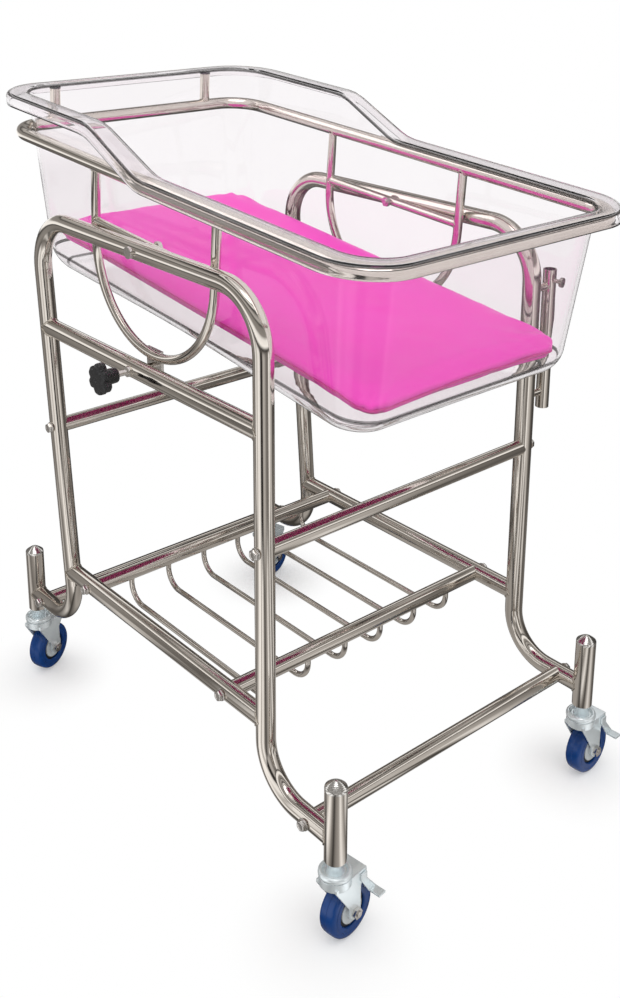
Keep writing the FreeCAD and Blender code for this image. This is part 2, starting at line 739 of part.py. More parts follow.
def head_post(side_name, side):
    """A short tube that stands on the head end of the ring, between the tub's leaning wall and its lip."""
    name = "HeadPost" + side_name
    tube = straight_tube(name, "Sizes.head_post_radius", "Sizes.head_post_wall", "Sizes.head_post_length",
                         (head_post_line, side * head_post_y, ring_z), (0, 0, 1))
    ring_end = cylinder(name + "RingEnd", "Sizes.ring_radius", "Sizes.head_post_y",
                        (ring_head, (side - 0.5) * head_post_y, ring_z), (0, 1, 0))
    piece("head_post_" + side_name, cut("HeadPostCoped_" + side_name, tube, [ring_end]), TILTED)


for side_name, side in SIDES.items():
    head_post(side_name, side)
piece("head_post_caps", group("HeadPostCaps", [
    cylinder("HeadCap_" + side_name, "Sizes.head_cap_radius", "Sizes.head_cap_height",
             (head_post_line, side * head_post_y, head_post_top)) for side_name, side in SIDES.items()]), TILTED)

pivot_nut = size("pivot_nut", 5.5)
pivot_inside = loop_y - loop_radius - pivot_play
size("pivot_head_radius", 8)
size("pivot_head", 4)
pivot_end = size("pivot_end", 0.5)
size("pivot_length", outer_face - pivot_inside + pivot_nut + pivot_end * bolt_radius)


def pivot_bolt(side_name, side):
    """A low-headed bolt through the top tube; its plain shank is the axle of the rocker bar."""
    name = "Pivot_" + side_name
    seat = (pivot_x, side * outer_face, top_z)
    shank = cylinder(name + "Shank", "Sizes.bolt_radius", "Sizes.pivot_length", seat, (0, -side, 0))
    head = cylinder(name + "Head", "Sizes.pivot_head_radius", "Sizes.pivot_head", seat, (0, side, 0))
    return fuse(name, [shank, head])


def pivot_ring(name, blank):
    """Drills a washer or a nut for the pivot bolt, face to face with its shank."""
    at = blank.Placement.Base
    bore = cylinder(name + "Bore", "Sizes.bolt_radius", "Sizes.half_width",
                    (at.x, at.y - half_width / 2, at.z), (0, 1, 0))
    return cut(name, blank, [bore])


def pivot_spacer(side_name, side):
    """The washer between the top tube and the rocker bar."""
    blank = cylinder("SpacerBlank_" + side_name, "Sizes.washer_radius", "Sizes.spacer_thick",
                     (pivot_x, side * inner_face, top_z), (0, -side, 0))
    return pivot_ring("Spacer_" + side_name, blank)


def pivot_lock_nut(side_name, side):
    """The nut on the inner end of the pivot bolt."""
    blank = hexagon("PivotNutBlank_" + side_name, "Sizes.bolt_flats", "Sizes.pivot_nut",
                    (pivot_x, side * pivot_inside, top_z), (0, -side, 0))
    return pivot_ring("PivotNut_" + side_name, blank)


PIVOT_PARTS = {"pivot_bolts": pivot_bolt, "pivot_spacers": pivot_spacer, "pivot_nuts": pivot_lock_nut}
for node, make in PIVOT_PARTS.items():
    both = [make(side_name, side) for side_name, side in SIDES.items()]
    piece(node, group(node.title().replace("_", ""), both))


# ---------------------------------------------------------------- tilt lock: knob, screw, boss and clamp shoe

knob_hub_length = size("knob_hub_length", 20)
knob_star_length = size("knob_star_length", 12)
knob_hub_y = size("knob_hub_y", -outer_face - size("knob_reach", 18.3))
knob_star_y = size("knob_star_y", knob_hub_y - knob_hub_length)
knob_face_y = size("knob_face_y", knob_star_y - knob_star_length)
size("knob_hub_radius", 12.5)
size("knob_core_radius", 16)
size("knob_lobe_radius", 5.6)
knob_lobe_ring = size("knob_lobe_ring", 16.4)
LOBES = 6
size("screw_tip", 18 - loop_y)
boss_out = size("boss_out", outer_face + size("boss_proud", 3))
boss_length = size("boss_length", boss_out - inner_face)
shoe_outer = size("shoe_outer", -loop_y + loop_radius + size("shoe_gap", 0.3))
shoe_thick = size("shoe_thick", 4)
size("shoe_width", 34)
size("shoe_height", 38)
shoe_low = size("shoe_low", middle_z - size("shoe_drop", 16))
ALONG_Y = (0, 1, 0)


def lock_screw():
    """The star knob with the screw moulded into it is one turning unit in two pieces."""
    face = V(lock_x, knob_face_y, middle_z)
    seat = (lock_x, knob_star_y, middle_z)
    star = [cylinder("KnobCore", "Sizes.knob_core_radius", "Sizes.knob_star_length", face, ALONG_Y)]
    for number in range(LOBES):
        angle = 2 * math.pi * number / LOBES
        base = face + V(math.cos(angle), 0, math.sin(angle)) * knob_lobe_ring
        star.append(cylinder("KnobLobe%d" % number, "Sizes.knob_lobe_radius", "Sizes.knob_star_length",
                             base, ALONG_Y))
    star.append(cylinder("KnobHub", "Sizes.knob_hub_radius", "Sizes.knob_hub_length", seat, ALONG_Y))
    socket_hole = cylinder("KnobSocket", "Sizes.bolt_radius", "Sizes.knob_hub_length", seat, ALONG_Y)
    piece("lock_knob", cut("LockKnob", fuse("KnobBlank", star), [socket_hole]))
    piece("lock_screw", cylinder("LockScrew", "Sizes.bolt_radius", "Sizes.screw_tip - Sizes.knob_star_y",
                                 seat, ALONG_Y))


def lock_boss():
    """A bored steel boss through the near middle rail that guides the screw."""
    sleeve = cylinder("BossSleeve", "Sizes.boss_radius", "Sizes.boss_length",
                      (lock_x, -boss_out, middle_z), ALONG_Y)
    bore = cylinder("BossBore", "Sizes.snug_hole", "2 * Sizes.boss_length",
                    (lock_x, -boss_out - boss_length / 2, middle_z), ALONG_Y)
    piece("lock_boss", cut("LockBoss", sleeve, [bore]))


def clamp_shoe():
    """The plate that the screw draws against the round bottom of the near rocker loop."""
    plate = doc.addObject("Part::Box", "ShoePlate")
    bind(plate, Length="Sizes.shoe_width", Width="Sizes.shoe_thick", Height="Sizes.shoe_height")
    plate.Placement = facing((lock_x - known["shoe_width"] / 2, shoe_outer, shoe_low))
    bore = cylinder("ShoeBore", "Sizes.snug_hole", "3 * Sizes.shoe_thick",
                    (lock_x, shoe_outer - shoe_thick, middle_z), ALONG_Y)
    piece("clamp_shoe", cut("ClampShoe", plate, [bore]))


lock_screw()
lock_boss()
clamp_shoe()


# ---------------------------------------------------------------- socket for a drip pole on the far foot leg

socket_y = size("socket_y", outer_face + size("socket_off", 25.3))
size("socket_radius", 9.5)
size("socket_wall", 1.5)
socket_low = size("socket_low", 521)
socket_high = size("socket_high", 726)
size("socket_length", socket_high - socket_low)
size("stub_radius", 5)
STUB_HEIGHTS = (545, 702)
socket_screw_z = size("socket_screw_z", 711)
size("socket_screw_radius", 3)
size("socket_screw_hole", 3.06)
size("socket_screw_length", 24)
size("wing_radius", 7)
size("wing_thick", 5)


def pole_socket():
    """An open upright tube on two short stubs, with a thumb screw that holds the pole."""
    tube = straight_tube("SocketTube", "Sizes.socket_radius", "Sizes.socket_wall", "Sizes.socket_length",
                         (foot_leg_x, socket_y, socket_low), (0, 0, 1))
    tapped = cylinder("SocketTap", "Sizes.socket_screw_hole", "2 * Sizes.socket_radius",
                      (foot_leg_x, socket_y, socket_screw_z), (1, 0, 0))
    piece("pole_socket", cut("PoleSocket", tube, [tapped]))
    stubs = []
    for number, height in enumerate(STUB_HEIGHTS):
        bar = cylinder("Stub%d" % number, "Sizes.stub_radius", "Sizes.socket_y - Sizes.half_width",
                       (foot_leg_x, half_width, height), ALONG_Y)
        leg = leg_stand_in("stub_leg_%d" % number, (foot_leg_x, height), (0, 1), 1)
        core = cylinder("StubSocket%d" % number, "Sizes.socket_radius", "8 * Sizes.stub_radius",
                        (foot_leg_x, socket_y, height - 4 * known["stub_radius"]))
        stubs.append(cut("StubCoped%d" % number, bar, [leg, core]))
    piece("socket_stubs", group("SocketStubs", stubs))


def thumb_screw():
    """A small screw with a round grip, through the tapped hole in the socket's wall."""
    start = foot_leg_x + known["socket_radius"] - known["socket_wall"] / 2
    shank = cylinder("ThumbShank", "Sizes.socket_screw_radius", "Sizes.socket_screw_length / 2",
                     (start, socket_y, socket_screw_z), (1, 0, 0))
    grip = cylinder("ThumbGrip", "Sizes.wing_radius", "Sizes.wing_thick",
                    (start + known["socket_screw_length"] / 2, socket_y, socket_screw_z), (1, 0, 0))
    piece("socket_thumb_screw", fuse("ThumbScrew", [shank, grip]))


pole_socket()
thumb_screw()


# ---------------------------------------------------------------- clear tub, moulded in one piece

sheet_thick = size("sheet_thick", 4)
seat_gap = size("seat_gap", 0.3)
rim_low = size("rim_low", ring_z + ring_radius + seat_gap + sheet_thick)
rim_rise = size("rim_rise", 47)
rim_high = size("rim_high", rim_low + rim_rise)
lip_depth = size("lip_depth", 17)
slope_head_x = size("slope_head_x", -118)
slope_foot_x = size("slope_foot_x", 0)
slope_bend = size("slope_bend", 60)
rim_half = size("rim_half", ring_far + ring_radius + size("rim_over_side", 16.5))
rim_head_x = size("rim_head_x", ring_head - ring_radius - size("rim_over_head", 6.5))
rim_foot_x = size("rim_foot_x", ring_foot + ring_radius + size("rim_over_foot", 5.5))
size("rim_corner", 78)
wall_half = size("wall_half", ring_far - ring_radius - size("wall_play_side", 1.5))
wall_head_x = size("wall_head_x", ring_head + ring_radius + size("wall_play_head", 5.5))
wall_foot_x = size("wall_foot_x", ring_foot - ring_radius - size("wall_play_foot", 2.5))
size("wall_corner_top", 56)
size("wall_corner_low", 42)
draft_side = size("draft_side", 0.08)
draft_head = size("draft_head", 0.165)
draft_foot = size("draft_foot", 0.08)
tub_top = size("tub_top", rim_high + size("tub_over_rim", 7.7))
tub_base = size("tub_base", -150)
floor_head_z = size("floor_head_z", -115)
floor_foot_z = size("floor_foot_z", -135)
floor_bend = size("floor_bend", 36)
far_out = size("far_out", 600)
size("minus_far_out", -far_out)
floor_slope = (floor_foot_z - floor_head_z) / (wall_foot_x - wall_head_x)


def loose_sketch(name, placement, corners):
    """A sketch on its own, for a loft or an extrusion."""
    sketch = doc.addObject("Sketcher::SketchObject", name)
    sketch.Placement = placement
    outline(sketch, corners)
    return sketch


def tub_section(name, z, inset, corner):
    """The rounded rectangle of the tub's wall at a height, inset from its outer face."""
    rise = z - ring_z
    head = size(name + "_head", wall_head_x - draft_head * rise + inset)
    foot = size(name + "_foot", wall_foot_x + draft_foot * rise - inset)
    half = size(name + "_half", wall_half + draft_side * rise - inset)
    size(name + "_near", -half)
    bend = size(name + "_bend", known[corner] - inset)
    near, far = name + "_near", name + "_half"
    corners = [(name + "_head", near), (name + "_foot", near), (name + "_foot", far), (name + "_head", far)]
    return loose_sketch(name, facing((0, 0, z)), [(x, y, name + "_bend") for x, y in corners])


def tub_block(name, inset):
    """The drafted block inside the tub's outer face, or inside its cavity when inset."""
    block = doc.addObject("Part::Loft", name)
    block.Sections = [tub_section(name + "_low", tub_base, inset, "wall_corner_low"),
                      tub_section(name + "_top", tub_top, inset, "wall_corner_top")]
    block.Solid = True
    block.Ruled = True
    return block


def side_slab(name, lift_low, lift_high, flat_low=None):
    """Everything between two copies of the tub's side line, or between its floor line and its side line.

    lift_low and lift_high shift the rim's line; flat_low replaces the lower line by the sloping floor.
    """
    rim = {"head": rim_high, "foot": rim_low}
    for which, lift in (("high", lift_high), ("low", lift_low)):
        for end in rim:
            size("%s_%s_%s" % (name, which, end), rim[end] + lift)
    upper = [("minus_far_out", name + "_high_head", None),
             ("slope_head_x", name + "_high_head", "slope_bend"),
             ("slope_foot_x", name + "_high_foot", "slope_bend"), ("far_out", name + "_high_foot", None)]
    lower = [("far_out", name + "_low_foot", None), ("slope_foot_x", name + "_low_foot", "slope_bend"),
             ("slope_head_x", name + "_low_head", "slope_bend"), ("minus_far_out", name + "_low_head", None)]
    if flat_low is not None:
        for end, x in (("head", -far_out), ("foot", far_out)):
            size("%s_floor_%s" % (name, end), floor_head_z + floor_slope * (x - wall_head_x) + flat_low)
        lower = [("far_out", name + "_floor_foot", None), ("minus_far_out", name + "_floor_head", None)]
    sketch = loose_sketch(name + "_line", FreeCAD.Placement(V(0, 0, 0), FreeCAD.Rotation(V(1, 0, 0), 90)),
                          upper + lower)
    slab = doc.addObject("Part::Extrusion", name)
    slab.Base = sketch
    slab.DirMode = "Custom"
    slab.Dir = V(0, 1, 0)
    slab.Symmetric = True
    slab.Solid = True
    bind(slab, LengthFwd="2 * Sizes.far_out")
    return slab


def rim_block(name, inset):
    """A tall prism whose plan is the outside of the rim, inset from it."""
    head = size(name + "_head", rim_head_x + inset)
    foot = size(name + "_foot", rim_foot_x - inset)
    half = size(name + "_half", rim_half - inset)
    size(name + "_near", -half)
    size(name + "_bend", known["rim_corner"] - inset)
    near, far = name + "_near", name + "_half"
    corners = [(name + "_head", near), (name + "_foot", near), (name + "_foot", far), (name + "_head", far)]
    sketch = loose_sketch(name + "_plan", facing((0, 0, 0)), [(x, y, name + "_bend") for x, y in corners])
    block = doc.addObject("Part::Extrusion", name)
    block.Base = sketch
    block.DirMode = "Custom"
    block.Dir = UP
    block.Solid = True
    bind(block, LengthFwd="Sizes.tub_top")
    return block


def floor_rounded(block, radius):
    """Rounds the edges all round the sloping floor of a block."""
    doc.recompute()
    rounded = doc.addObject("Part::Fillet", block.Name + "Rounded")
    rounded.Base = block
    rounded.Edges = [(number, radius, radius) for number, edge in enumerate(block.Shape.Edges, 1)
                     if edge.BoundBox.ZMax < (floor_head_z + floor_foot_z) / 2 + floor_bend]
    return rounded


def tub():
    """A drafted shell with a sloping floor, and a flange with a turned-down lip that steps down to the foot."""
    outer = tub_block("tub_outer", 0)
    cavity = tub_block("tub_cavity", sheet_thick)
    body = common("TubBody", [outer, side_slab("tub_solid", 0, 0, 0)])
    hollow = common("TubHollow", [cavity, side_slab("tub_space", 0, rim_rise, sheet_thick)])
    cavity_rounded = floor_rounded(hollow, floor_bend - sheet_thick)
    shell = cut("TubShell", floor_rounded(body, floor_bend), [cavity_rounded])
    rim_plan = rim_block("rim_outer", 0)
    flange = common("TubFlangePlate", [rim_plan, side_slab("tub_flange", -sheet_thick, 0)])
    flange_ring = cut("TubFlange", flange, [cavity])
    lip_plate = common("TubLipPlate", [rim_plan, side_slab("tub_lip", -lip_depth, 0)])
    lip = cut("TubLip", lip_plate, [rim_block("rim_inner", sheet_thick)])
    piece("tub", fuse("TubMoulding", [shell, flange_ring, lip]), TILTED)


tub()


# ---------------------------------------------------------------- mattress, carried by the coves round the floor

mattress_thick = size("mattress_thick", 28)
mattress_rise_head = size("mattress_rise_head", 33)
mattress_rise_foot = size("mattress_rise_foot", 24)
mattress_head_in = size("mattress_head_in", 29.5)
mattress_foot_in = size("mattress_foot_in", 19)
mattress_side_in = size("mattress_side_in", 32)
mattress_head_x = size("mattress_head_x", wall_head_x + mattress_head_in)
mattress_foot_x = size("mattress_foot_x", wall_foot_x - mattress_foot_in)
mattress_half = size("mattress_half", wall_half - mattress_side_in)
mattress_flare = size("mattress_flare", 2)
size("mattress_bend", 32)
mattress_edge = size("mattress_edge", 8)
bed_head_z = size("bed_head_z", floor_head_z + sheet_thick + mattress_rise_head)
bed_foot_z = size("bed_foot_z", floor_foot_z + sheet_thick + mattress_rise_foot)
bed_slope = (bed_foot_z - bed_head_z) / (wall_foot_x - wall_head_x)


def mattress():
    """A foam pad in a covered case, a little wider at the top to follow the tub's walls."""
    sections = []
    for name, z, flare in (("mattress_low", 0, 0), ("mattress_top", mattress_thick, mattress_flare)):
        head = size(name + "_head", mattress_head_x - flare / 2)
        foot = size(name + "_foot", mattress_foot_x + flare / 2)
        half = size(name + "_half", mattress_half + flare)
        size(name + "_near", -half)
        near, far = name + "_near", name + "_half"
        plan = [(name + "_head", near), (name + "_foot", near), (name + "_foot", far), (name + "_head", far)]
        corners = [(x, y, "mattress_bend") for x, y in plan]
        sections.append(loose_sketch(name, facing((0, 0, z)), corners))
    pad = doc.addObject("Part::Loft", "MattressPad")
    pad.Sections = sections
    pad.Solid = True
    pad.Ruled = True
    doc.recompute()
    rounded = doc.addObject("Part::Fillet", "MattressRounded")
    rounded.Base = pad
    flat = [number for number, edge in enumerate(pad.Shape.Edges, 1)
            if edge.BoundBox.ZLength < mattress_thick / 2]
    rounded.Edges = [(number, mattress_edge, mattress_edge) for number in flat]
    bed = FreeCAD.Placement(V(0, 0, bed_head_z - bed_slope * wall_head_x),
                            FreeCAD.Rotation(V(0, 1, 0), -math.degrees(math.atan(bed_slope))))
    piece("mattress", rounded, TILTED * bed)


mattress()


# ---------------------------------------------------------------- checks and STEP files

doc.recompute()
faults = [thing.Name for thing in doc.Objects if "Invalid" in thing.State or "Error" in thing.State]
for node, thing in pieces.items():
    shape = getattr(thing, "Shape", None)
    if shape is None or shape.isNull() or not shape.isValid() or not shape.Solids:
        faults.append(node)
if faults:
    raise RuntimeError("these did not come out whole: " + ", ".join(faults))
os.makedirs("parts", exist_ok=True)
for node, thing in pieces.items():
    thing.Shape.exportStep("parts/%s.step" % node)
print("%d pieces written" % len(pieces))
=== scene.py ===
import math

import bmesh
import bpy
from mathutils import Matrix, Vector, noise


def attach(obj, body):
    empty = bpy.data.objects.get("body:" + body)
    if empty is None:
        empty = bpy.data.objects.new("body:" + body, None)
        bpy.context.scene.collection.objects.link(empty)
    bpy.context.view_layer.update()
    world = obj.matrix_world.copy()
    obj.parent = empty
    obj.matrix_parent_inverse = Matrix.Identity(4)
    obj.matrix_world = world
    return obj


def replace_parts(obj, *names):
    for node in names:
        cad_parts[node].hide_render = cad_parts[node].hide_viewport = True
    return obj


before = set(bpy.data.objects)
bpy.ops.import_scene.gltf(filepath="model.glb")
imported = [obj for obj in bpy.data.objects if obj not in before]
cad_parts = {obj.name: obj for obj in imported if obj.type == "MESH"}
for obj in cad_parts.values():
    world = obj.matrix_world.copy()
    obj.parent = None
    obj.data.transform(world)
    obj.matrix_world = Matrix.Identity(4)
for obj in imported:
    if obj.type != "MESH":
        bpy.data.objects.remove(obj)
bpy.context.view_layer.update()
scene = bpy.context.scene


# ---- The studio: a white floor and room, soft lamps from above, and a grey screen round the bassinet.
# The screen is what polished tube mirrors, in brown-grey stretches with lit strips between. Only gloss
# sees it, and all else in the room is white to a mirror as it is to the eye.

class Wire:
    """A socket of a finish. Sums on it add Math nodes, and node() adds any other kind of node."""

    def __init__(self, tree, socket=None):
        self.tree = tree
        self.socket = socket

    def node(self, kind, settings=(), values=(), out=0):
        made = self.tree.nodes.new("ShaderNode" + kind)
        for name, value in dict(settings).items():
            if name == "stops":
                ramp = made.color_ramp
                while len(ramp.elements) < len(value):
                    ramp.elements.new(1)
                for element, (at, tone) in zip(ramp.elements, value):
                    element.position = at
                    element.color = (*tone, 1)
            else:
                setattr(made, name, value)
        for slot, value in dict(values).items():
            if isinstance(value, Wire):
                self.tree.links.new(value.socket, made.inputs[slot])
            else:
                made.inputs[slot].default_value = value
        return Wire(self.tree, made.outputs[out] if made.outputs else None)

    def sum(self, operation, *values):
        return self.node("Math", {"operation": operation}, dict(enumerate(values)))

    def __add__(self, other):
        return self.sum("ADD", self, other)

    def __sub__(self, other):
        return self.sum("SUBTRACT", self, other)

    def __rsub__(self, other):
        return self.sum("SUBTRACT", other, self)

    def __mul__(self, other):
        return self.sum("MULTIPLY", self, other)

    def __truediv__(self, other):
        return self.sum("DIVIDE", self, other)

    __radd__ = __add__
    __rmul__ = __mul__


def spread(wire, low, high):
    """0 below low, 1 above high, and smooth between them."""
    return wire.node("MapRange", {"interpolation_type": "SMOOTHSTEP"},
                     {"Value": wire, "From Min": low, "From Max": high})


COLOUR_A, COLOUR_B, COLOUR_RESULT = 6, 7, 2


def blend_tones(share, first, second):
    """The first tone where share is 0 and the second where it is 1."""
    values = {"Factor": share}
    for slot, tone in ((COLOUR_A, first), (COLOUR_B, second)):
        values[slot] = (*tone, 1) if isinstance(tone, tuple) else tone
    return share.node("Mix", {"data_type": "RGBA"}, values, COLOUR_RESULT)


def own_place(wire):
    """Where a point is in the piece's own space."""
    return wire.node("TexCoord", out="Object")


def grain(wire, place, scale, detail=2.0):
    """Even noise from 0 to 1 at a place."""
    return wire.node("TexNoise", values={"Vector": place, "Scale": scale, "Detail": detail})


def stretched(wire, place, amounts):
    """A place with each direction scaled."""
    return wire.node("VectorMath", {"operation": "MULTIPLY"}, {0: place, 1: amounts})


def axis_of(wire, place, name):
    """One coordinate of a place."""
    return wire.node("SeparateXYZ", values={"Vector": place}, out=name)


def flat_reach(wire, place):
    """How far a place is from the upright axis."""
    flat = stretched(wire, place, (1.0, 1.0, 0.0))
    return wire.node("VectorMath", {"operation": "LENGTH"}, {0: flat}, "Value")


def blank_material(name):
    """A new material with nothing in it, and a wire to build its nodes with."""
    material = bpy.data.materials.new(name)
    material.use_nodes = True
    material.node_tree.nodes.clear()
    return material, Wire(material.node_tree)


def seen_rays(wire):
    """1 for what the eye sees, straight, through clear plastic or in a mirror."""
    seen = wire.node("LightPath", out="Is Camera Ray")
    for kind in ("Is Transmission Ray", "Is Glossy Ray"):
        seen = seen.sum("MAXIMUM", seen, wire.node("LightPath", out=kind))
    return seen


ROOM_LIGHT = 0.72


def light_room():
    """A white room for the eye, which lights the bassinet less than it shows."""
    world = bpy.data.worlds.new("studio")
    scene.world = world
    world.use_nodes = True
    world.node_tree.nodes.clear()
    wire = Wire(world.node_tree)
    strength = ROOM_LIGHT + (1.0 - ROOM_LIGHT) * seen_rays(wire)
    glow = wire.node("Background", values={"Color": (1.0, 1.0, 1.0, 1), "Strength": strength})
    wire.node("OutputWorld", values={"Surface": glow})


def placed(name, data):
    """A new object in the scene that shows a mesh, a lamp or a camera."""
    thing = bpy.data.objects.new(name, data)
    scene.collection.objects.link(thing)
    return thing


def aimed(thing, towards):
    """Turns a lamp or a camera towards a direction."""
    thing.rotation_euler = Vector(towards).to_track_quat("-Z", "Y").to_euler()


def sun(name, strength, spread_degrees, towards):
    """A soft lamp that shines one way everywhere."""
    lamp = bpy.data.lights.new(name, "SUN")
    lamp.energy = strength
    lamp.angle = math.radians(spread_degrees)
    aimed(placed(name, lamp), towards)


def stage_piece(name, points, faces, material):
    """Something of the studio, which is no part of the bassinet."""
    mesh = bpy.data.meshes.new(name)
    mesh.from_pydata(points, [], faces)
    mesh.materials.append(material)
    thing = placed(name, mesh)
    return thing


FLOOR_HALF, FLOOR_Z = 30.0, -0.0002
FLOOR_GLOW = 0.30
WHEELS_AT = (0.355, 0.245, 0.0)
SHADOW_REACH, WHITE_REACH = 0.02, 0.13


def lay_floor():
    """The floor: it takes a soft shadow round each wheel, and is plain white beyond."""
    material, wire = blank_material("floor_paint")
    place = own_place(wire)
    folded = wire.node("VectorMath", {"operation": "ABSOLUTE"}, {0: place})
    off = wire.node("VectorMath", {"operation": "DISTANCE"}, {0: folded, 1: WHEELS_AT}, "Value")
    tone = blend_tones(grain(wire, place, 1.3), (0.95, 0.95, 0.945), (0.97, 0.97, 0.965))
    lit = wire.node("BsdfPrincipled",
                    values={"Base Color": tone, "Roughness": 0.85, "Specular IOR Level": 0.1})
    white = wire.node("Emission", values={"Color": (1, 1, 1, 1), "Strength": 1.0})
    beyond = spread(off, SHADOW_REACH, WHITE_REACH)
    fade = (FLOOR_GLOW + (1.0 - FLOOR_GLOW) * beyond) * seen_rays(wire)
    both = wire.node("MixShader", values={0: fade, 1: lit, 2: white})
    wire.node("OutputMaterial", values={"Surface": both})
    corners = [(x * FLOOR_HALF, y * FLOOR_HALF, FLOOR_Z) for x, y in ((-1, -1), (1, -1), (1, 1), (-1, 1))]
    stage_piece("floor", corners, [(0, 1, 2, 3)], material)


CAMERA_AT = Vector((1.2602, -1.0502, 1.1937))
CAMERA_LOOKS = Vector((-0.7388, 0.6170, -0.2710))
PICTURE_WIDE, PICTURE_HIGH = 620, 998
FOCAL_PIXELS = 1227.7
MIDDLE_PIXEL = (293.27, 263.66)
SCREEN_REACH, SCREEN_TOP, SCREEN_HEM = 1.0, 2.4, 0.0005
SCREEN_STEPS = 96
SCREEN_LOW = [
    (-180, 0.08), (-150, 0.06), (-125, 0.14), (-95, 0.34), (-78, 0.14), (-67, 1.20), (-52, 0.60),
    (-40, 1.20), (-27, 1.00), (-22, 0.06), (-10, 0.02), (-5, 0.55), (2, 0.62), (18, 0.22), (33, 0.24),
    (40, 1.40), (48, 0.80), (66, 0.55), (80, 0.20), (92, 0.08), (125, 0.07), (150, 0.20), (180, 0.08),
]
SCREEN_FOOT = [
    (-180, 0.08), (-150, 0.06), (-118, 0.36), (-104, 0.12), (-92, 0.80), (-80, 0.20), (-60, 0.42),
    (-36, 1.40), (-27, 0.50), (-18, 1.30), (-9, 0.34), (-2, 0.04), (4, 0.30), (13, 0.46), (19, 1.20),
    (25, 0.70), (31, 0.28), (42, 1.10), (48, 0.30), (53, 0.05), (59, 0.50), (65, 1.00), (72, 0.60),
    (80, 0.12), (105, 0.20), (135, 0.26), (160, 0.06), (180, 0.08),
]
SCREEN_HIGH = [
    (0.60, 0.16), (0.67, 0.04), (0.73, 1.30), (0.86, 1.10), (0.93, 0.34), (1.12, 0.30), (1.18, 0.05),
    (1.30, 0.60), (1.45, 0.36), (1.58, 0.05), (1.74, 0.04), (1.84, 0.95), (2.00, 1.10), (2.12, 0.30),
    (2.40, 0.16),
]
SCREEN_UNDER = [(0.0, 0.34), (0.26, 0.46), (0.38, 0.06), (0.60, 0.09), (0.80, 0.50)]


def tone_ramp(wire, along, tones, low, high):
    """Greys along a value that runs from low to high, each a little browner the darker it is."""
    stops = []
    for at, level in tones:
        brown = 0.12 * (1 - min(level, 1))
        tone = (level, level * (1 - brown * 0.5), level * (1 - brown))
        stops.append(((at - low) / (high - low), tone))
    return wire.node("ValToRGB", {"stops": stops}, {"Fac": along})


def stand_screen():
    """A round screen and its foot disc, toned by the way round from the camera and by height or reach."""
    turns = [2 * math.pi * step / SCREEN_STEPS for step in range(SCREEN_STEPS)]
    points = [(math.cos(turn) * SCREEN_REACH, math.sin(turn) * SCREEN_REACH, z)
              for turn in turns for z in (SCREEN_HEM, SCREEN_TOP)]
    hem = range(0, len(points), 2)
    faces = [(low, (low + 2) % len(points), (low + 2) % len(points) + 1, low + 1) for low in hem]
    faces.append(tuple(hem))
    material, wire = blank_material("screen_tones")
    place = own_place(wire)
    height = axis_of(wire, place, "Z")
    reach = flat_reach(wire, place)
    way = height.sum("ARCTAN2", axis_of(wire, place, "Y"), axis_of(wire, place, "X")) / (2 * math.pi) + 0.5
    low, foot = (tone_ramp(wire, way, tones, -180, 180) for tones in (SCREEN_LOW, SCREEN_FOOT))
    high = tone_ramp(wire, height / SCREEN_TOP, SCREEN_HIGH, 0, SCREEN_TOP)
    under = tone_ramp(wire, reach, SCREEN_UNDER, 0, SCREEN_REACH)
    wall = blend_tones(spread(height, 0.56, 0.64), low, high)
    ground = blend_tones(spread(reach, 0.38, 0.47), under, foot)
    tone = blend_tones(spread(height, 0.01, 0.16), ground, wall)
    wire.node("OutputMaterial", values={"Surface": wire.node("Emission", values={"Color": tone})})
    screen = stage_piece("screen", points, faces, material)
    screen.rotation_euler.z = math.atan2(CAMERA_AT.y, CAMERA_AT.x)
    for ray in ("camera", "diffuse", "transmission", "shadow", "volume_scatter"):
        setattr(screen, "visible_" + ray, False)


def place_camera():
    """The camera of the main view; its sensor's width lies along the picture's long side."""
    lens = bpy.data.cameras.new("camera")
    lens.sensor_fit = "AUTO"
    lens.sensor_width = 36
    lens.lens = FOCAL_PIXELS * lens.sensor_width / PICTURE_HIGH
    lens.shift_x = (PICTURE_WIDE / 2 - MIDDLE_PIXEL[0]) / PICTURE_HIGH
    lens.shift_y = (MIDDLE_PIXEL[1] - PICTURE_HIGH / 2) / PICTURE_HIGH
    lens.clip_end = 100
    scene.camera = placed("camera", lens)
    scene.camera.location = CAMERA_AT
    aimed(scene.camera, CAMERA_LOOKS)


place_camera()
light_room()
sun("key_lamp", 0.95, 50, (-0.35, 0.25, -0.9))
sun("side_lamp", 0.30, 35, (0.75, 0.45, -0.55))
lay_floor()
stand_screen()
scene.view_settings.view_transform = "Standard"


# ---- Side frames and their rails: one stainless tube bent round each side, and two straight rails
# between its legs. The 25 mm tube is polished along its length, so it keeps faint lines and smears. The
# rails are welded to the legs, and the ends of the base run to the caster posts.

MM = 0.001


def dented(wire, height, strength, distance, soften=None):
    """The surface normal after a height map, with the edges first softened by a radius."""
    values = {"Height": height, "Strength": strength, "Distance": distance}
    if soften:
        values["Normal"] = wire.node("Bevel", {"samples": 6}, {"Radius": soften})
    return wire.node("Bump", values=values)


def paint(name, recipe):
    """A material whose shader sockets take what the recipe gives."""
    material, wire = blank_material(name)
    shader = wire.node("BsdfPrincipled", values=recipe(wire))
    wire.node("OutputMaterial", values={"Surface": shader})
    return material


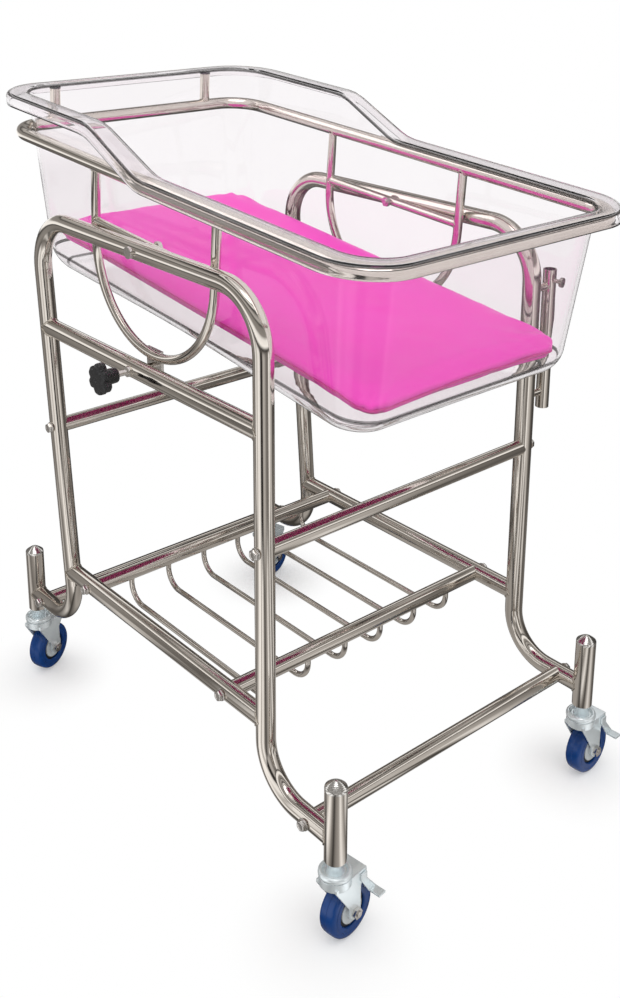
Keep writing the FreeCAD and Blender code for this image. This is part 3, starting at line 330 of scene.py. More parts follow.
def stainless_recipe(wire):
    """Polished tube: cloudy smears, fine lines along its upright runs, and a few specks."""
    place = own_place(wire)
    smears = grain(wire, place, 14.0, 3.0)
    lines = grain(wire, stretched(wire, place, (1.0, 1.0, 0.08)), 900.0, 2.0)
    specks = spread(grain(wire, place, 420.0, 2.0), 0.66, 0.8)
    tone = blend_tones(smears, (0.64, 0.59, 0.535), (0.76, 0.71, 0.65))
    return {"Base Color": tone, "Metallic": 1.0,
            "Roughness": 0.05 + 0.05 * smears + 0.03 * lines + 0.08 * specks,
            "Normal": dented(wire, lines + 0.6 * smears, 0.02, 0.0006)}


def paint_nodes(material, *nodes):
    """Gives pieces of the frame a finish."""
    for node in nodes:
        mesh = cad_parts[node].data
        mesh.materials.clear()
        mesh.materials.append(material)


def add_loft(mesh, rings, round_trip=False):
    """A skin through rings of points, closed at both ends or joined to itself."""
    rows = [[mesh.verts.new(point * MM) for point in ring] for ring in rings]
    pairs = list(zip(rows, rows[1:]))
    if round_trip:
        pairs.append((rows[-1], rows[0]))
    else:
        mesh.faces.new(rows[0])
        mesh.faces.new(rows[-1])
    for low, high in pairs:
        for index in range(len(low)):
            after = (index + 1) % len(low)
            mesh.faces.new((low[index], low[after], high[after], high[index]))


def filled(name, mesh):
    """An object that shows the mesh, with its faces turned outward."""
    bmesh.ops.recalc_face_normals(mesh, faces=mesh.faces)
    data = bpy.data.meshes.new(name)
    mesh.to_mesh(data)
    mesh.free()
    return placed(name, data)


def own_piece(name, mesh, material, body, sharp=40, at=(0, 0, 0)):
    """The mesh, set down at a place, as a piece that rides on a body; smooth up to the angle sharp."""
    thing = filled(name, mesh)
    thing.location = Vector(at) * MM
    for face in thing.data.polygons:
        face.use_smooth = True
    thing.data.set_sharp_from_angle(angle=math.radians(sharp))
    thing.data.materials.append(material)
    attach(thing, body)
    return thing


def cord_ring(point, side, rise, radius):
    """Eight points round a place on a thin cord or bead."""
    turns = [math.pi * k / 4 for k in range(8)]
    return [point + (side * math.cos(turn) + rise * math.sin(turn)) * radius for turn in turns]


BEAD_STEPS = 56
BEAD_RIPPLE = 0.16


def weld_bead(mesh, at, along, radius, main_at, main_along, main_radius, size=1.5):
    """A rippled bead where a tube that leaves at along meets a main tube."""
    at, along, main_at, main_along = (Vector(item) for item in (at, along, main_at, main_along))
    along.normalize()
    main_along.normalize()
    across = (main_along - along * main_along.dot(along)).normalized()
    up = along.cross(across)
    lean = along - main_along * along.dot(main_along)
    path = []
    for step in range(BEAD_STEPS):
        turn = 2 * math.pi * step / BEAD_STEPS
        start = at + (across * math.cos(turn) + up * math.sin(turn)) * radius
        off = start - main_at
        off -= main_along * off.dot(main_along)
        a, b, c = lean.dot(lean), 2 * off.dot(lean), off.dot(off) - main_radius ** 2
        out = (-b + math.sqrt(max(b * b - 4 * a * c, 0))) / (2 * a)
        path.append(start + along * max(out, 0.0))
    rings = []
    for step, point in enumerate(path):
        ahead = (path[(step + 1) % BEAD_STEPS] - path[step - 1]).normalized()
        side = ahead.cross(along).normalized()
        thick = size * (1 + BEAD_RIPPLE * math.sin(step * math.pi * 0.5))
        rings.append(cord_ring(point, side, side.cross(ahead), thick))
    add_loft(mesh, rings, round_trip=True)


def weld_recipe(wire):
    """Bead metal: duller than the tube, and clouded by the heat."""
    place = own_place(wire)
    heat = grain(wire, place, 120.0, 3.0)
    tone = blend_tones(heat, (0.50, 0.45, 0.39), (0.66, 0.61, 0.54))
    return {"Base Color": tone, "Metallic": 1.0, "Roughness": 0.24 + 0.14 * heat,
            "Normal": dented(wire, grain(wire, place, 700.0), 0.12, 0.0004)}


stainless = paint("polished_stainless", stainless_recipe)
weld_metal = paint("weld_metal", weld_recipe)
SIDE_Y = 235
TUBE, POST = 12.7, 14
BASE_Z, LOWER_Z, MIDDLE_Z = 146, 237, 621.5
HEAD_LEG = (-51 / 640, 0, 1)
HEAD_LEG_BASE_X, FOOT_LEG_X, POST_X = -233, 231, 362


def head_leg_x(height):
    """Where the leaning head leg is at a height."""
    return HEAD_LEG_BASE_X + HEAD_LEG[0] * (height - BASE_Z)


def weld_side_frames():
    """Beads at both ends of every rail, and where the base runs meet the posts."""
    mesh = bmesh.new()
    for side in (-1, 1):
        for height in (LOWER_Z, MIDDLE_Z):
            foot = (FOOT_LEG_X, side * SIDE_Y, height)
            weld_bead(mesh, foot, (-1, 0, 0), TUBE, foot, (0, 0, 1), TUBE)
            head = (head_leg_x(height), side * SIDE_Y, height)
            weld_bead(mesh, head, (1, 0, 0), TUBE, head, HEAD_LEG, TUBE)
        for end in (-1, 1):
            post = (end * POST_X, side * SIDE_Y, BASE_Z)
            weld_bead(mesh, post, (-end, 0, 0), TUBE, post, (0, 0, 1), POST)
    own_piece("frame_welds", mesh, weld_metal, "trolley")


paint_nodes(stainless, "side_frame_near", "side_frame_far", "middle_rail_near", "middle_rail_far",
            "lower_rail_near", "lower_rail_far")
weld_side_frames()


# ---- Cross bars: six thinner stainless tubes from side to side, at the base, the shelf and half way up.
# Each end is held by a bolt through the side tube, with a washer under its hexagon head.

def turned(centre, axis, profile, lobe=None, sides=48):
    """Rings of a turned shape. A step of its profile is (along the axis, radius, share of the lobes)."""
    axis = Vector(axis).normalized()
    across = Vector((0, 0, 1)) if abs(axis.z) < 0.9 else Vector((1, 0, 0))
    across = (across - axis * across.dot(axis)).normalized()
    up = axis.cross(across)
    rings = []
    for along, radius, *share in profile:
        ring = []
        for step in range(sides):
            turn = 2 * math.pi * step / sides
            reach = radius * (1 + share[0] * (lobe(turn) - 1)) if share else radius
            out = (across * math.cos(turn) + up * math.sin(turn)) * reach
            ring.append(Vector(centre) + axis * along + out)
        rings.append(ring)
    return rings


def hexagon(turn):
    """A hexagon's outline, 1 at its corners."""
    return math.cos(math.pi / 6) / math.cos(turn % (math.pi / 3) - math.pi / 6)


BOLT_HEAD = [
    (0, 7.4), (0, 7.8), (0.3, 8.0), (1.2, 8.0), (1.5, 7.7), (1.55, 6.6), (1.6, 7.35, 1), (4.9, 7.35, 1),
    (5.8, 6.95, 0.85), (6.45, 6.1, 0.4), (6.7, 5.0, 0), (6.5, 4.2, 0), (6.1, 3.7, 0), (6.0, 2.0, 0),
]


def bolt_recipe(wire):
    """Bright bolt steel, rubbed and round at its edges."""
    place = own_place(wire)
    rub = grain(wire, place, 160.0, 3.0)
    tone = blend_tones(rub, (0.58, 0.55, 0.52), (0.78, 0.75, 0.72))
    return {"Base Color": tone, "Metallic": 1.0, "Roughness": 0.12 + 0.12 * rub,
            "Normal": dented(wire, rub, 0.08, 0.0004, 0.0006)}


bolt_steel = paint("bolt_steel", bolt_recipe)
UPPER_Z = 469.4
SHELF_X = (-179, 155)
BOLTED = [(-329, BASE_Z), (319, BASE_Z), (SHELF_X[0], LOWER_Z), (SHELF_X[1], LOWER_Z),
          (head_leg_x(UPPER_Z), UPPER_Z), (FOOT_LEG_X, UPPER_Z)]
paint_nodes(stainless, "base_head_bar", "base_foot_bar", "shelf_head_bar", "shelf_foot_bar",
            "upper_head_bar", "upper_foot_bar")
heads = bmesh.new()
for side in (-1, 1):
    for x, z in BOLTED:
        add_loft(heads, turned((x, side * (SIDE_Y + TUBE), z), (0, side, 0), BOLT_HEAD, hexagon, 72))
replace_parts(own_piece("frame_bolt_heads", heads, bolt_steel, "trolley", 32), "frame_bolts")


# ---- Basket: six thin stainless rods that hang from the shelf bars in flat loops.
# Each end is turned up and welded under its bar.

ROD_COUNT, ROD_PITCH = 6, 67.5
ROD, SHELF_BAR = 4, 11
paint_nodes(stainless, "basket_rods")
rod_welds = bmesh.new()
for number in range(ROD_COUNT):
    for x in SHELF_X:
        end = (x, (number - (ROD_COUNT - 1) / 2) * ROD_PITCH, LOWER_Z)
        weld_bead(rod_welds, end, (0, 0, -1), ROD, end, (0, 1, 0), SHELF_BAR, 0.9)
own_piece("rod_welds", rod_welds, weld_metal, "trolley")


# ---- Caster posts: short stainless tubes at the four corners, to which the ends of the base are welded.
# Each is closed by a turned steel cap, pressed in, and takes a caster's stem from below.

def cap_recipe(wire):
    """Turned steel, with the tool's fine rings about the cap's middle."""
    place = own_place(wire)
    grooves = wire.sum("SINE", flat_reach(wire, place) * 3600.0)
    rub = grain(wire, place, 120.0, 3.0)
    tone = blend_tones(rub, (0.66, 0.64, 0.61), (0.84, 0.82, 0.79))
    return {"Base Color": tone, "Metallic": 1.0, "Roughness": 0.08 + 0.08 * rub,
            "Normal": dented(wire, grooves, 0.06, 0.0003)}


turned_cap = paint("turned_cap", cap_recipe)
POST_RIM_Z = 216
POST_CAP = [
    (-6, 11.8), (0, 11.8), (0.05, 14.0), (2.6, 14.0), (3.8, 13.6), (4.4, 12.9), (4.8, 12.4),
    (6.6, 10.2), (8.6, 7.4), (10.6, 4.2), (11.8, 1.9), (12.2, 0.8),
]
caps = []
for x in (-POST_X, POST_X):
    for y in (-SIDE_Y, SIDE_Y):
        cap = bmesh.new()
        add_loft(cap, turned((0, 0, 0), (0, 0, 1), POST_CAP, sides=64))
        caps.append(own_piece("post_cap_%d" % len(caps), cap, turned_cap, "trolley", 30,
                              (x, y, POST_RIM_Z)))
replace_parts(caps[0], "post_caps")
paint_nodes(stainless, "caster_post_head_near", "caster_post_head_far", "caster_post_foot_near",
            "caster_post_foot_far")


# ---- Casters: pressed zinc forks under a swivel race, solid blue tyres on grey hubs, and two foot brakes.
# The race's upper cup is fixed in the post by its stem; the fork turns below it on the kingpin.

def zinc_recipe(wire):
    """Zinc plate: pale and blue, with a faint spangle."""
    place = own_place(wire)
    cloud = grain(wire, place, 70.0, 4.0)
    spangle = wire.node("TexVoronoi", {}, {"Vector": place, "Scale": 420.0})
    tone = blend_tones(cloud, (0.78, 0.85, 0.88), (0.90, 0.96, 0.98))
    return {"Base Color": tone, "Metallic": 0.60, "Roughness": 0.13 + 0.08 * cloud,
            "Normal": dented(wire, spangle, 0.05, 0.0003, 0.0012)}


def tread_recipe(wire):
    """Solid blue rubber with a polished wear."""
    place = own_place(wire)
    wear = grain(wire, place, 55.0, 4.0)
    tone = blend_tones(wear, (0.001, 0.026, 0.12), (0.002, 0.050, 0.23))
    return {"Base Color": tone, "Roughness": 0.14 + 0.12 * wear, "Specular IOR Level": 0.45,
            "Normal": dented(wire, grain(wire, place, 500.0), 0.06, 0.0004)}


def hub_recipe(wire):
    """Grey moulded plastic with soft edges."""
    place = own_place(wire)
    cloud = grain(wire, place, 130.0, 3.0)
    tone = blend_tones(cloud, (0.42, 0.45, 0.46), (0.56, 0.59, 0.60))
    return {"Base Color": tone, "Roughness": 0.38 + 0.15 * cloud,
            "Normal": dented(wire, cloud, 0.05, 0.0004, 0.0008)}


def groove_shade_recipe(wire):
    """Matt black rubber, for the rings laid in the hubs' grooves, which paint the recess's shade."""
    place = own_place(wire)
    grit = grain(wire, place, 600.0, 2.0)
    tone = blend_tones(grit, (0.008, 0.008, 0.010), (0.022, 0.022, 0.026))
    return {"Base Color": tone, "Roughness": 0.5 + 0.15 * grit, "Normal": dented(wire, grit, 0.08, 0.0003)}


zinc = paint("zinc_plate", zinc_recipe)
blue_tread = paint("blue_tread", tread_recipe)
hub_grey = paint("hub_grey", hub_recipe)
groove_shade_black = paint("groove_shade_black", groove_shade_recipe)
TRAIL, AXLE_Z = 20, 37.5
CASTERS = {
    "head_near": (-POST_X, -SIDE_Y, 112.5),
    "head_far": (-POST_X, SIDE_Y, 104),
    "foot_near": (POST_X, -SIDE_Y, 98),
    "foot_far": (POST_X, SIDE_Y, 94),
}
SWIVEL_CUP = [
    (82.6, 4.0), (82.6, 7.0), (83.4, 7.9), (85.0, 7.9), (85.6, 5.0), (97.3, 5.0), (97.3, 18.4),
    (97.7, 20.0), (98.8, 20.8), (100.6, 21.0), (102.6, 20.7), (104.0, 19.8), (104.8, 18.4),
    (104.9, 17.2), (104.4, 16.0), (103.2, 15.2), (101.2, 14.8), (100.5, 13.9), (100.5, 11.4),
    (101.0, 10.7), (103.0, 10.4), (117.6, 10.4), (118.2, 11.4), (118.6, 11.5), (124.0, 11.5),
]
TYRE = [
    (-10.8, 22.0), (-12.0, 23.2), (-12.0, 28.6), (-11.5, 29.2), (-11.5, 30.2), (-11.9, 30.8),
    (-11.7, 33.2), (-10.9, 35.2), (-9.4, 36.5), (-7.4, 37.1), (-4.0, 37.4), (-0.5, 37.5), (-0.2, 37.2),
    (0.2, 37.2), (0.5, 37.5), (4.0, 37.4), (7.4, 37.1), (9.4, 36.5), (10.9, 35.2), (11.7, 33.2),
    (11.9, 30.8), (11.5, 30.2), (11.5, 29.2), (12.0, 28.6), (12.0, 23.2), (10.8, 22.0),
]
# A thin black ring in each hub's groove, as painted shade of the recess between hub and tyre.
GROOVE_SHADE_RING = [(7.7, 18.3), (8.3, 18.1), (8.9, 18.3), (9.2, 19.4), (9.2, 20.9), (8.8, 21.8), (7.7, 21.9)]
cups = bmesh.new()
for corner, (x, y, heading) in CASTERS.items():
    add_loft(cups, turned((x, y, 0), (0, 0, 1), SWIVEL_CUP, sides=64))
    turn = math.radians(heading)
    hub = Vector((x + TRAIL * math.cos(turn), y + TRAIL * math.sin(turn), AXLE_Z))
    axle = Vector((-math.sin(turn), math.cos(turn), 0))
    # The black rings on both faces of the hub are painted shade in its groove.
    groove_shades = bmesh.new()
    for face in (-1, 1):
        add_loft(groove_shades, turned(hub, axle * face, GROOVE_SHADE_RING, sides=64), round_trip=True)
    own_piece("hub_groove_shades_" + corner, groove_shades, groove_shade_black, "wheel_" + corner)
    tread = bmesh.new()
    add_loft(tread, turned(hub, axle, TYRE, sides=96), round_trip=True)
    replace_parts(own_piece("solid_tyre_" + corner, tread, blue_tread, "wheel_" + corner, 35),
                "tyre_" + corner)
    paint_nodes(zinc, "caster_fork_" + corner)
    paint_nodes(bolt_steel, "axle_bolt_" + corner)
    paint_nodes(hub_grey, "wheel_hub_" + corner)
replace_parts(own_piece("swivel_cups", cups, zinc, "trolley", 60), "caster_stems")
paint_nodes(zinc, "brake_pedal_foot_near", "brake_pedal_foot_far")


# ---- Tilt lock: a black moulded star knob on a screw through the near middle rail.
# The screw runs in a steel boss welded through the rail, and presses the shoe against the rocker loop.

def knob_recipe(wire):
    """Black moulded plastic with a fine grain."""
    place = own_place(wire)
    grit = grain(wire, place, 900.0, 2.0)
    tone = blend_tones(grit, (0.006, 0.006, 0.007), (0.02, 0.02, 0.022))
    return {"Base Color": tone, "Roughness": 0.30 + 0.15 * grit, "Normal": dented(wire, grit, 0.08, 0.0003)}


def star(turn):
    """The knob's six lobes, 1 near their tops."""
    return 0.90 + 0.10 * math.cos(6 * turn) - 0.035 * math.cos(12 * turn)


knob_black = paint("knob_black", knob_recipe)
LOCK_X, KNOB_Y = -38, -266.2
BOSS = 7
KNOB = [
    (0, 3.6), (0, 8.4), (0.6, 9.6), (1.6, 10.2), (12.0, 10.6), (14.6, 11.2), (16.0, 12.6, 0.3),
    (16.8, 15.6, 0.7), (17.3, 19.2, 1), (18.2, 21.0, 1), (19.8, 22.0, 1), (26.0, 22.0, 1),
    (28.6, 21.4, 1), (30.2, 19.6, 1), (31.2, 16.6, 0.9), (31.6, 12.0, 0.5), (31.7, 5.0, 0),
    (31.5, 3.2, 0), (30.6, 2.4, 0), (30.4, 1.2, 0),
]
knob = bmesh.new()
add_loft(knob, turned((LOCK_X, KNOB_Y, MIDDLE_Z), (0, -1, 0), KNOB, star, 96))
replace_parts(own_piece("star_knob", knob, knob_black, "lock_knob", 50), "lock_knob")
paint_nodes(bolt_steel, "lock_screw", "lock_boss", "clamp_shoe")
boss_at = (LOCK_X, -SIDE_Y, MIDDLE_Z)
boss_weld = bmesh.new()
weld_bead(boss_weld, boss_at, (0, -1, 0), BOSS, boss_at, (1, 0, 0), TUBE, 1.1)
own_piece("lock_boss_weld", boss_weld, weld_metal, "trolley")


# ---- Pole socket: a short stainless tube that stands beside the far foot leg on two welded stubs.
# It takes the pole of a drip stand, which a steel thumb screw near its top holds.

SOCKET_Y, SOCKET = 273, 9.5
STUB_HEIGHTS, STUB = (545, 702), 5
paint_nodes(stainless, "pole_socket", "socket_stubs")
paint_nodes(bolt_steel, "socket_thumb_screw")
stub_welds = bmesh.new()
for height in STUB_HEIGHTS:
    for y, way, main in ((SIDE_Y, 1, TUBE), (SOCKET_Y, -1, SOCKET)):
        end = (FOOT_LEG_X, y, height)
        weld_bead(stub_welds, end, (0, way, 0), STUB, end, (0, 0, 1), main, 1.0)
own_piece("stub_welds", stub_welds, weld_metal, "trolley")


# ---- Rocking cradle: a tube ring under the tub's rim, with a bent loop and a thin bar welded below it at
# each side. The bar turns on a bolt at the middle of each side frame. Two short posts with grey plugs stand
# up at the ring's head end.

def plug_recipe(wire):
    """Grey moulded plastic, round at its edges."""
    place = own_place(wire)
    cloud = grain(wire, place, 300.0, 2.0)
    tone = blend_tones(cloud, (0.08, 0.08, 0.085), (0.14, 0.14, 0.145))
    return {"Base Color": tone, "Roughness": 0.42 + 0.12 * cloud,
            "Normal": dented(wire, cloud, 0.06, 0.0003, 0.0010)}


PIVOT_X, PIVOT_Z, TILT_DEGREES = -24, 786, 4.3
CRADLE = (Matrix.Translation((PIVOT_X, 0, PIVOT_Z))
          @ Matrix.Rotation(math.radians(TILT_DEGREES), 4, "Y"))
RING_HEAD_X, RING_Y, RING_Z, RING = -376, 217, 81.5, 9.5
HEAD_POST_X, HEAD_POST_Y, HEAD_POST = -378.6, 139, 8
LOOP_X, LOOP_Y, LOOP, LOOP_END = 137, 214, 6.35, 6.3


def weld_cradle():
    """Beads under the head posts, round the loops' ends and round the ends of the bars."""
    mesh = bmesh.new()
    turn = CRADLE.to_3x3()

    def bead(at, along, radius, main_at, main_along, main_radius, size):
        weld_bead(mesh, CRADLE @ Vector(at), turn @ Vector(along), radius, CRADLE @ Vector(main_at),
                  turn @ Vector(main_along), main_radius, size)

    for side in (-1, 1):
        bead((HEAD_POST_X, side * HEAD_POST_Y, RING_Z), (0, 0, 1), HEAD_POST,
             (RING_HEAD_X, 0, RING_Z), (0, 1, 0), RING, 1.2)
        for end in (-1, 1):
            bead((end * LOOP_X, side * LOOP_Y, RING_Z), (0, 0, -1), LOOP_END,
                 (0, side * RING_Y, RING_Z), (1, 0, 0), RING, 1.1)
            bar = (end * LOOP_X, side * LOOP_Y, 0)
            bead(bar, (-end, 0, 0), LOOP_END, bar, (0, 0, 1), LOOP, 1.0)
    own_piece("cradle_welds", mesh, weld_metal, "cradle")


paint_nodes(stainless, "tub_ring", "rocker_loop_near", "rocker_loop_far", "rocker_bar_near",
            "rocker_bar_far", "head_post_near", "head_post_far")
paint_nodes(bolt_steel, "pivot_bolts", "pivot_nuts", "pivot_spacers")
paint_nodes(paint("plug_grey", plug_recipe), "head_post_caps")
weld_cradle()


# ---- Tub: clear acrylic, drawn from one 4 mm sheet over a form, with a wide flange and a turned-down lip.
# It drops into the ring and rests on it by the flange, which runs high round the head and slopes down to
# the foot half.

SHEET = 4.0
HALF_SHEET = SHEET / 2
RIM_LOW, RIM_HIGH, LIP_DEPTH = 95.3, 142.3, 17.0
SLOPE_START, SLOPE_END, SLOPE_SOFT = -118.0, 0.0, 16.0
RIM_PLAN = (-392.0, 421.0, 243.0, 78.0)
FLOOR_HEAD, FLOOR_FOOT = -115.0, -135.0
WALL_HEAD, WALL_FOOT, WALL_HALF = -361.0, 394.0, 206.0
DRAFT_HEAD, DRAFT_FOOT, DRAFT_SIDE = 0.165, 0.08, 0.08
BEND_LOW, BEND_TOP, BEND_LOW_Z, BEND_TALL = 42, 56, -150, 300
WALL_ROUNDS = 4
WALL_SHARES = (0.28, 0.5, 0.75)
COVE, RIM_BEND, LIP_BEND = 34.0, 7, 5
# The rows listed next, in the sheet's sharp bends, take a dark clear finish as painted shade lines.
SHADED_BEND_ROWS = (5, 12, 21, 22, 27, 28)
TUB_MIDDLE_X, FLOOR_EDGE, FLOOR_SHARES = 16, 0.76, (0.2, 0.5, 0.8)


def rim_height(x):
    """The height of the rim's top face along the tub."""
    def ramp(u):
        if abs(u) < SLOPE_SOFT:
            return (u + SLOPE_SOFT) ** 2 / (4 * SLOPE_SOFT)
        return max(u, 0.0)
    fall = (RIM_HIGH - RIM_LOW) / (SLOPE_END - SLOPE_START)
    return RIM_HIGH - fall * (ramp(x - SLOPE_START) - ramp(x - SLOPE_END))


def floor_height(x):
    """The height of the floor's underside along the tub."""
    return FLOOR_HEAD + (FLOOR_FOOT - FLOOR_HEAD) * (x - WALL_HEAD) / (WALL_FOOT - WALL_HEAD)


def wall_plan(z):
    """Head, foot, half width and corner radius of the wall's middle at a height."""
    rise = z - RING_Z
    bend = BEND_LOW + (BEND_TOP - BEND_LOW) * (z - BEND_LOW_Z) / BEND_TALL
    return (WALL_HEAD - DRAFT_HEAD * rise + HALF_SHEET, WALL_FOOT + DRAFT_FOOT * rise - HALF_SHEET,
            WALL_HALF + DRAFT_SIDE * rise - HALF_SHEET, bend - HALF_SHEET)


LONG_STEPS, SHORT_STEPS, CORNER_STEPS = 44, 18, 14


def round_plan(plan):
    """Points of a rounded rectangle, always the same number of them, from the near head corner."""
    head, foot, half, bend = plan
    corners = [(head, -half, 180), (foot, -half, 270), (foot, half, 0), (head, half, 90)]
    middles = [(x + (bend if x == head else -bend), y - math.copysign(bend, y)) for x, y, turn in corners]

    def on_bend(index, degrees):
        turn = math.radians(degrees)
        return middles[index][0] + bend * math.cos(turn), middles[index][1] + bend * math.sin(turn)

    points = []
    for index, (x, y, heading) in enumerate(corners):
        points += [on_bend(index, heading + 90 * step / CORNER_STEPS) for step in range(CORNER_STEPS)]
        start, end = on_bend(index, heading + 90), on_bend((index + 1) % 4, heading + 90)
        count = LONG_STEPS if index % 2 == 0 else SHORT_STEPS
        points += [(start[0] + (end[0] - start[0]) * step / count,
                    start[1] + (end[1] - start[1]) * step / count) for step in range(count)]
    return points


def wall_ring(share):
    """The wall's points at a share of the way up from the floor line to the rim line.

    Both lines slope and the wall leans, so each point's height and place are found in a few rounds.
    """
    heights = [0.0] * len(round_plan(wall_plan(0.0)))
    for _ in range(WALL_ROUNDS):
        plans = {}
        ring = []
        for index, z in enumerate(heights):
            key = round(z, 2)
            if key not in plans:
                plans[key] = round_plan(wall_plan(z))
            ring.append(plans[key][index])
        heights = [(floor_height(x) + HALF_SHEET) * (1 - share) + (rim_height(x) - HALF_SHEET) * share
                   for x, y in ring]
    return [Vector((x, y, z)) for (x, y), z in zip(ring, heights)]


def rounded_corner(before, corner, after, reach, steps):
    """An arc-like bend in place of a sharp corner."""
    start = corner + (before - corner).normalized() * reach
    end = corner + (after - corner).normalized() * reach
    first, second = start.lerp(corner, 0.55), end.lerp(corner, 0.55)
    shares = [step / steps for step in range(steps + 1)]
    return [start * (1 - t) ** 3 + first * 3 * t * (1 - t) ** 2 + second * 3 * t ** 2 * (1 - t)
            + end * t ** 3 for t in shares]


def towards_middle(point, share):
    """A point of the floor's middle plane, a share of the way out from the tub's middle."""
    x = TUB_MIDDLE_X + (point.x - TUB_MIDDLE_X) * share
    return Vector((x, point.y * share, floor_height(x) + HALF_SHEET))


def tub_sheet():
    """The middle of the tub's sheet as a grid: one column for each point round it."""
    base, *walls, top = (wall_ring(share) for share in (0.0, *WALL_SHARES, 1.0))
    head, foot, half, bend = RIM_PLAN
    plan = round_plan((head + HALF_SHEET, foot - HALF_SHEET, half - HALF_SHEET, bend - HALF_SHEET))
    columns = []
    for index, (low, high, (x, y)) in enumerate(zip(base, top, plan)):
        outer = Vector((x, y, rim_height(x) - HALF_SHEET))
        lip = outer - Vector((0, 0, LIP_DEPTH - HALF_SHEET))
        side = [ring[index] for ring in walls]
        column = rounded_corner(towards_middle(low, FLOOR_EDGE), low, side[0], COVE, 12)
        column += side
        column += rounded_corner(side[-1], high, outer, RIM_BEND, 6)
        column += rounded_corner(high, outer, lip, LIP_BEND, 5)
        column += [outer.lerp(lip, 0.7), lip]
        columns.append(column)
    return columns


def build_tub():
    """The sheet's middle in the tilted cradle, thickened to both sides."""
    mesh = bmesh.new()
    grid = []
    for column in tub_sheet():
        floor = [towards_middle(column[0], share) for share in FLOOR_SHARES]
        grid.append([mesh.verts.new(CRADLE @ point * MM) for point in floor + column])
    for index, first in enumerate(grid):
        second = grid[(index + 1) % len(grid)]
        for row in range(len(first) - 1):
            face = mesh.faces.new((first[row], second[row], second[row + 1], first[row + 1]))
            # Faces in the sharp bend rows take the second finish, which paints dark shade lines there.
            face.material_index = int(row in SHADED_BEND_ROWS)
    mesh.faces.new([column[0] for column in reversed(grid)])
    tub = filled("clear_tub", mesh)
    thick = tub.modifiers.new("sheet", "SOLIDIFY")
    thick.thickness = SHEET * MM * 0.98
    thick.offset = 0
    thick.use_even_offset = True
    # The sheet's cut edge, along the bottom of the lip, takes that dark finish too, as a painted shade line.
    thick.material_offset_rim = 1
    return tub


def apply_modifiers(thing):
    """Gives a piece the mesh that its modifiers make of it."""
    made = bpy.data.meshes.new_from_object(thing.evaluated_get(bpy.context.evaluated_depsgraph_get()))
    thing.modifiers.clear()
    thing.data = made


def settle(thing):
    """Applies a piece's modifiers and smooths its shading."""
    apply_modifiers(thing)
    for face in thing.data.polygons:
        face.use_smooth = True


def facing_up(wire):
    """How far the piece's surface faces up, from -1 to 1."""
    return axis_of(wire, wire.node("TexCoord", out="Normal"), "Z")


def acrylic_finish(name, light, dark):
    """Clear plastic for the eye, with painted grey shade where it is seen edge on, and plain pale air for
    lamps.
    """
    material, wire = blank_material(name)
    place = own_place(wire)
    haze = grain(wire, place, 22.0, 3.0)
    waves = grain(wire, place, 9.0, 2.0)
    edge_on = wire.node("LayerWeight", values={"Blend": 0.5}, out="Facing")
    up = facing_up(wire)
    # Painted shade: grey goes into the clear tone where the sheet is seen edge on, in place of the dark
    # lines that refraction shows at its bends.
    edge_on_painted_shade = edge_on * (1.0 - 0.45 * (up * up))
    tone = blend_tones(spread(edge_on_painted_shade, 0.74, 0.95), blend_tones(haze, light, dark), (0.24, 0.23, 0.24))
    plastic = wire.node("BsdfPrincipled", values={
        "Base Color": tone, "Roughness": 0.010 + 0.015 * haze, "IOR": 1.34,
        "Transmission Weight": 1.0, "Normal": dented(wire, waves, 0.10, 0.004)})
    open_air = wire.node("BsdfTransparent", values={"Color": (0.985, 0.985, 0.985, 1)})
    shadow = wire.node("LightPath", out="Is Shadow Ray")
    lamps = shadow.sum("MAXIMUM", shadow, wire.node("LightPath", out="Is Diffuse Ray"))
    both = wire.node("MixShader", values={0: lamps, 1: plastic, 2: open_air})
    wire.node("OutputMaterial", values={"Surface": both})
    return material


tub = build_tub()
# The pink cast of these clear tones is a painted reflection of the pink mattress inside.
tub.data.materials.append(acrylic_finish("clear_acrylic", (0.968, 0.945, 0.957), (0.945, 0.915, 0.930)))
# The second finish is a dark clear tone: painted shade lines on the sharp bends and the cut edge.
tub.data.materials.append(acrylic_finish("acrylic_painted_bend_shade", (0.16, 0.155, 0.155), (0.06, 0.055, 0.055)))
settle(tub)
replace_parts(tub, "tub")
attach(tub, "tub")


# ---- Mattress: a thin foam pad in a sewn pink vinyl case, with a welted seam low round its side.
# It is longer than the flat of the floor, so its ends ride up the coves and it clears the floor by a finger.

PAD_HEAD, PAD_FOOT, PAD_HALF, PAD_BEND = -331.5, 375.0, 174.0, 32.0
PAD_THICK, PAD_FLARE, LEAST_BEND = 28.0, 2.0, 6
PAD_LEVELS = [
    (1.5, 26), (2.0, 12), (4.0, 4.5), (8.0, 3.0), (13.0, 2.6), (18.0, 3.0), (22.0, 5.5), (24.0, 11),
    (24.6, 26),
]
BED_HEAD_Z, BED_SLOPE = -78.0, -29.0 / 755.0
IN_METRES = Matrix.Scale(MM, 4)
BED = (IN_METRES @ CRADLE @ Matrix.Translation((0, 0, BED_HEAD_Z - BED_SLOPE * WALL_HEAD))
       @ Matrix.Rotation(-math.atan(BED_SLOPE), 4, "Y") @ IN_METRES.inverted())
VOXEL = 5
CLOTH_FRAMES, CLOTH_PRESSURE, CLOTH_REACH = 20, 4, 5
SEAM_Z, SEAM_HALF, SEAM_EDGE, SEAM_TUCK = 7.5, 2.6, 12, 1.3
CORNER_REACH, CORNER_FOLD, UNDER_FOLD = 110, 2.4, 0.8
DROOP, NEAR_FOOT_DROOP = 3.0, 6.0
WELT, WELT_WAVE, WELT_SMOOTHS = 1.4, 0.7, 3


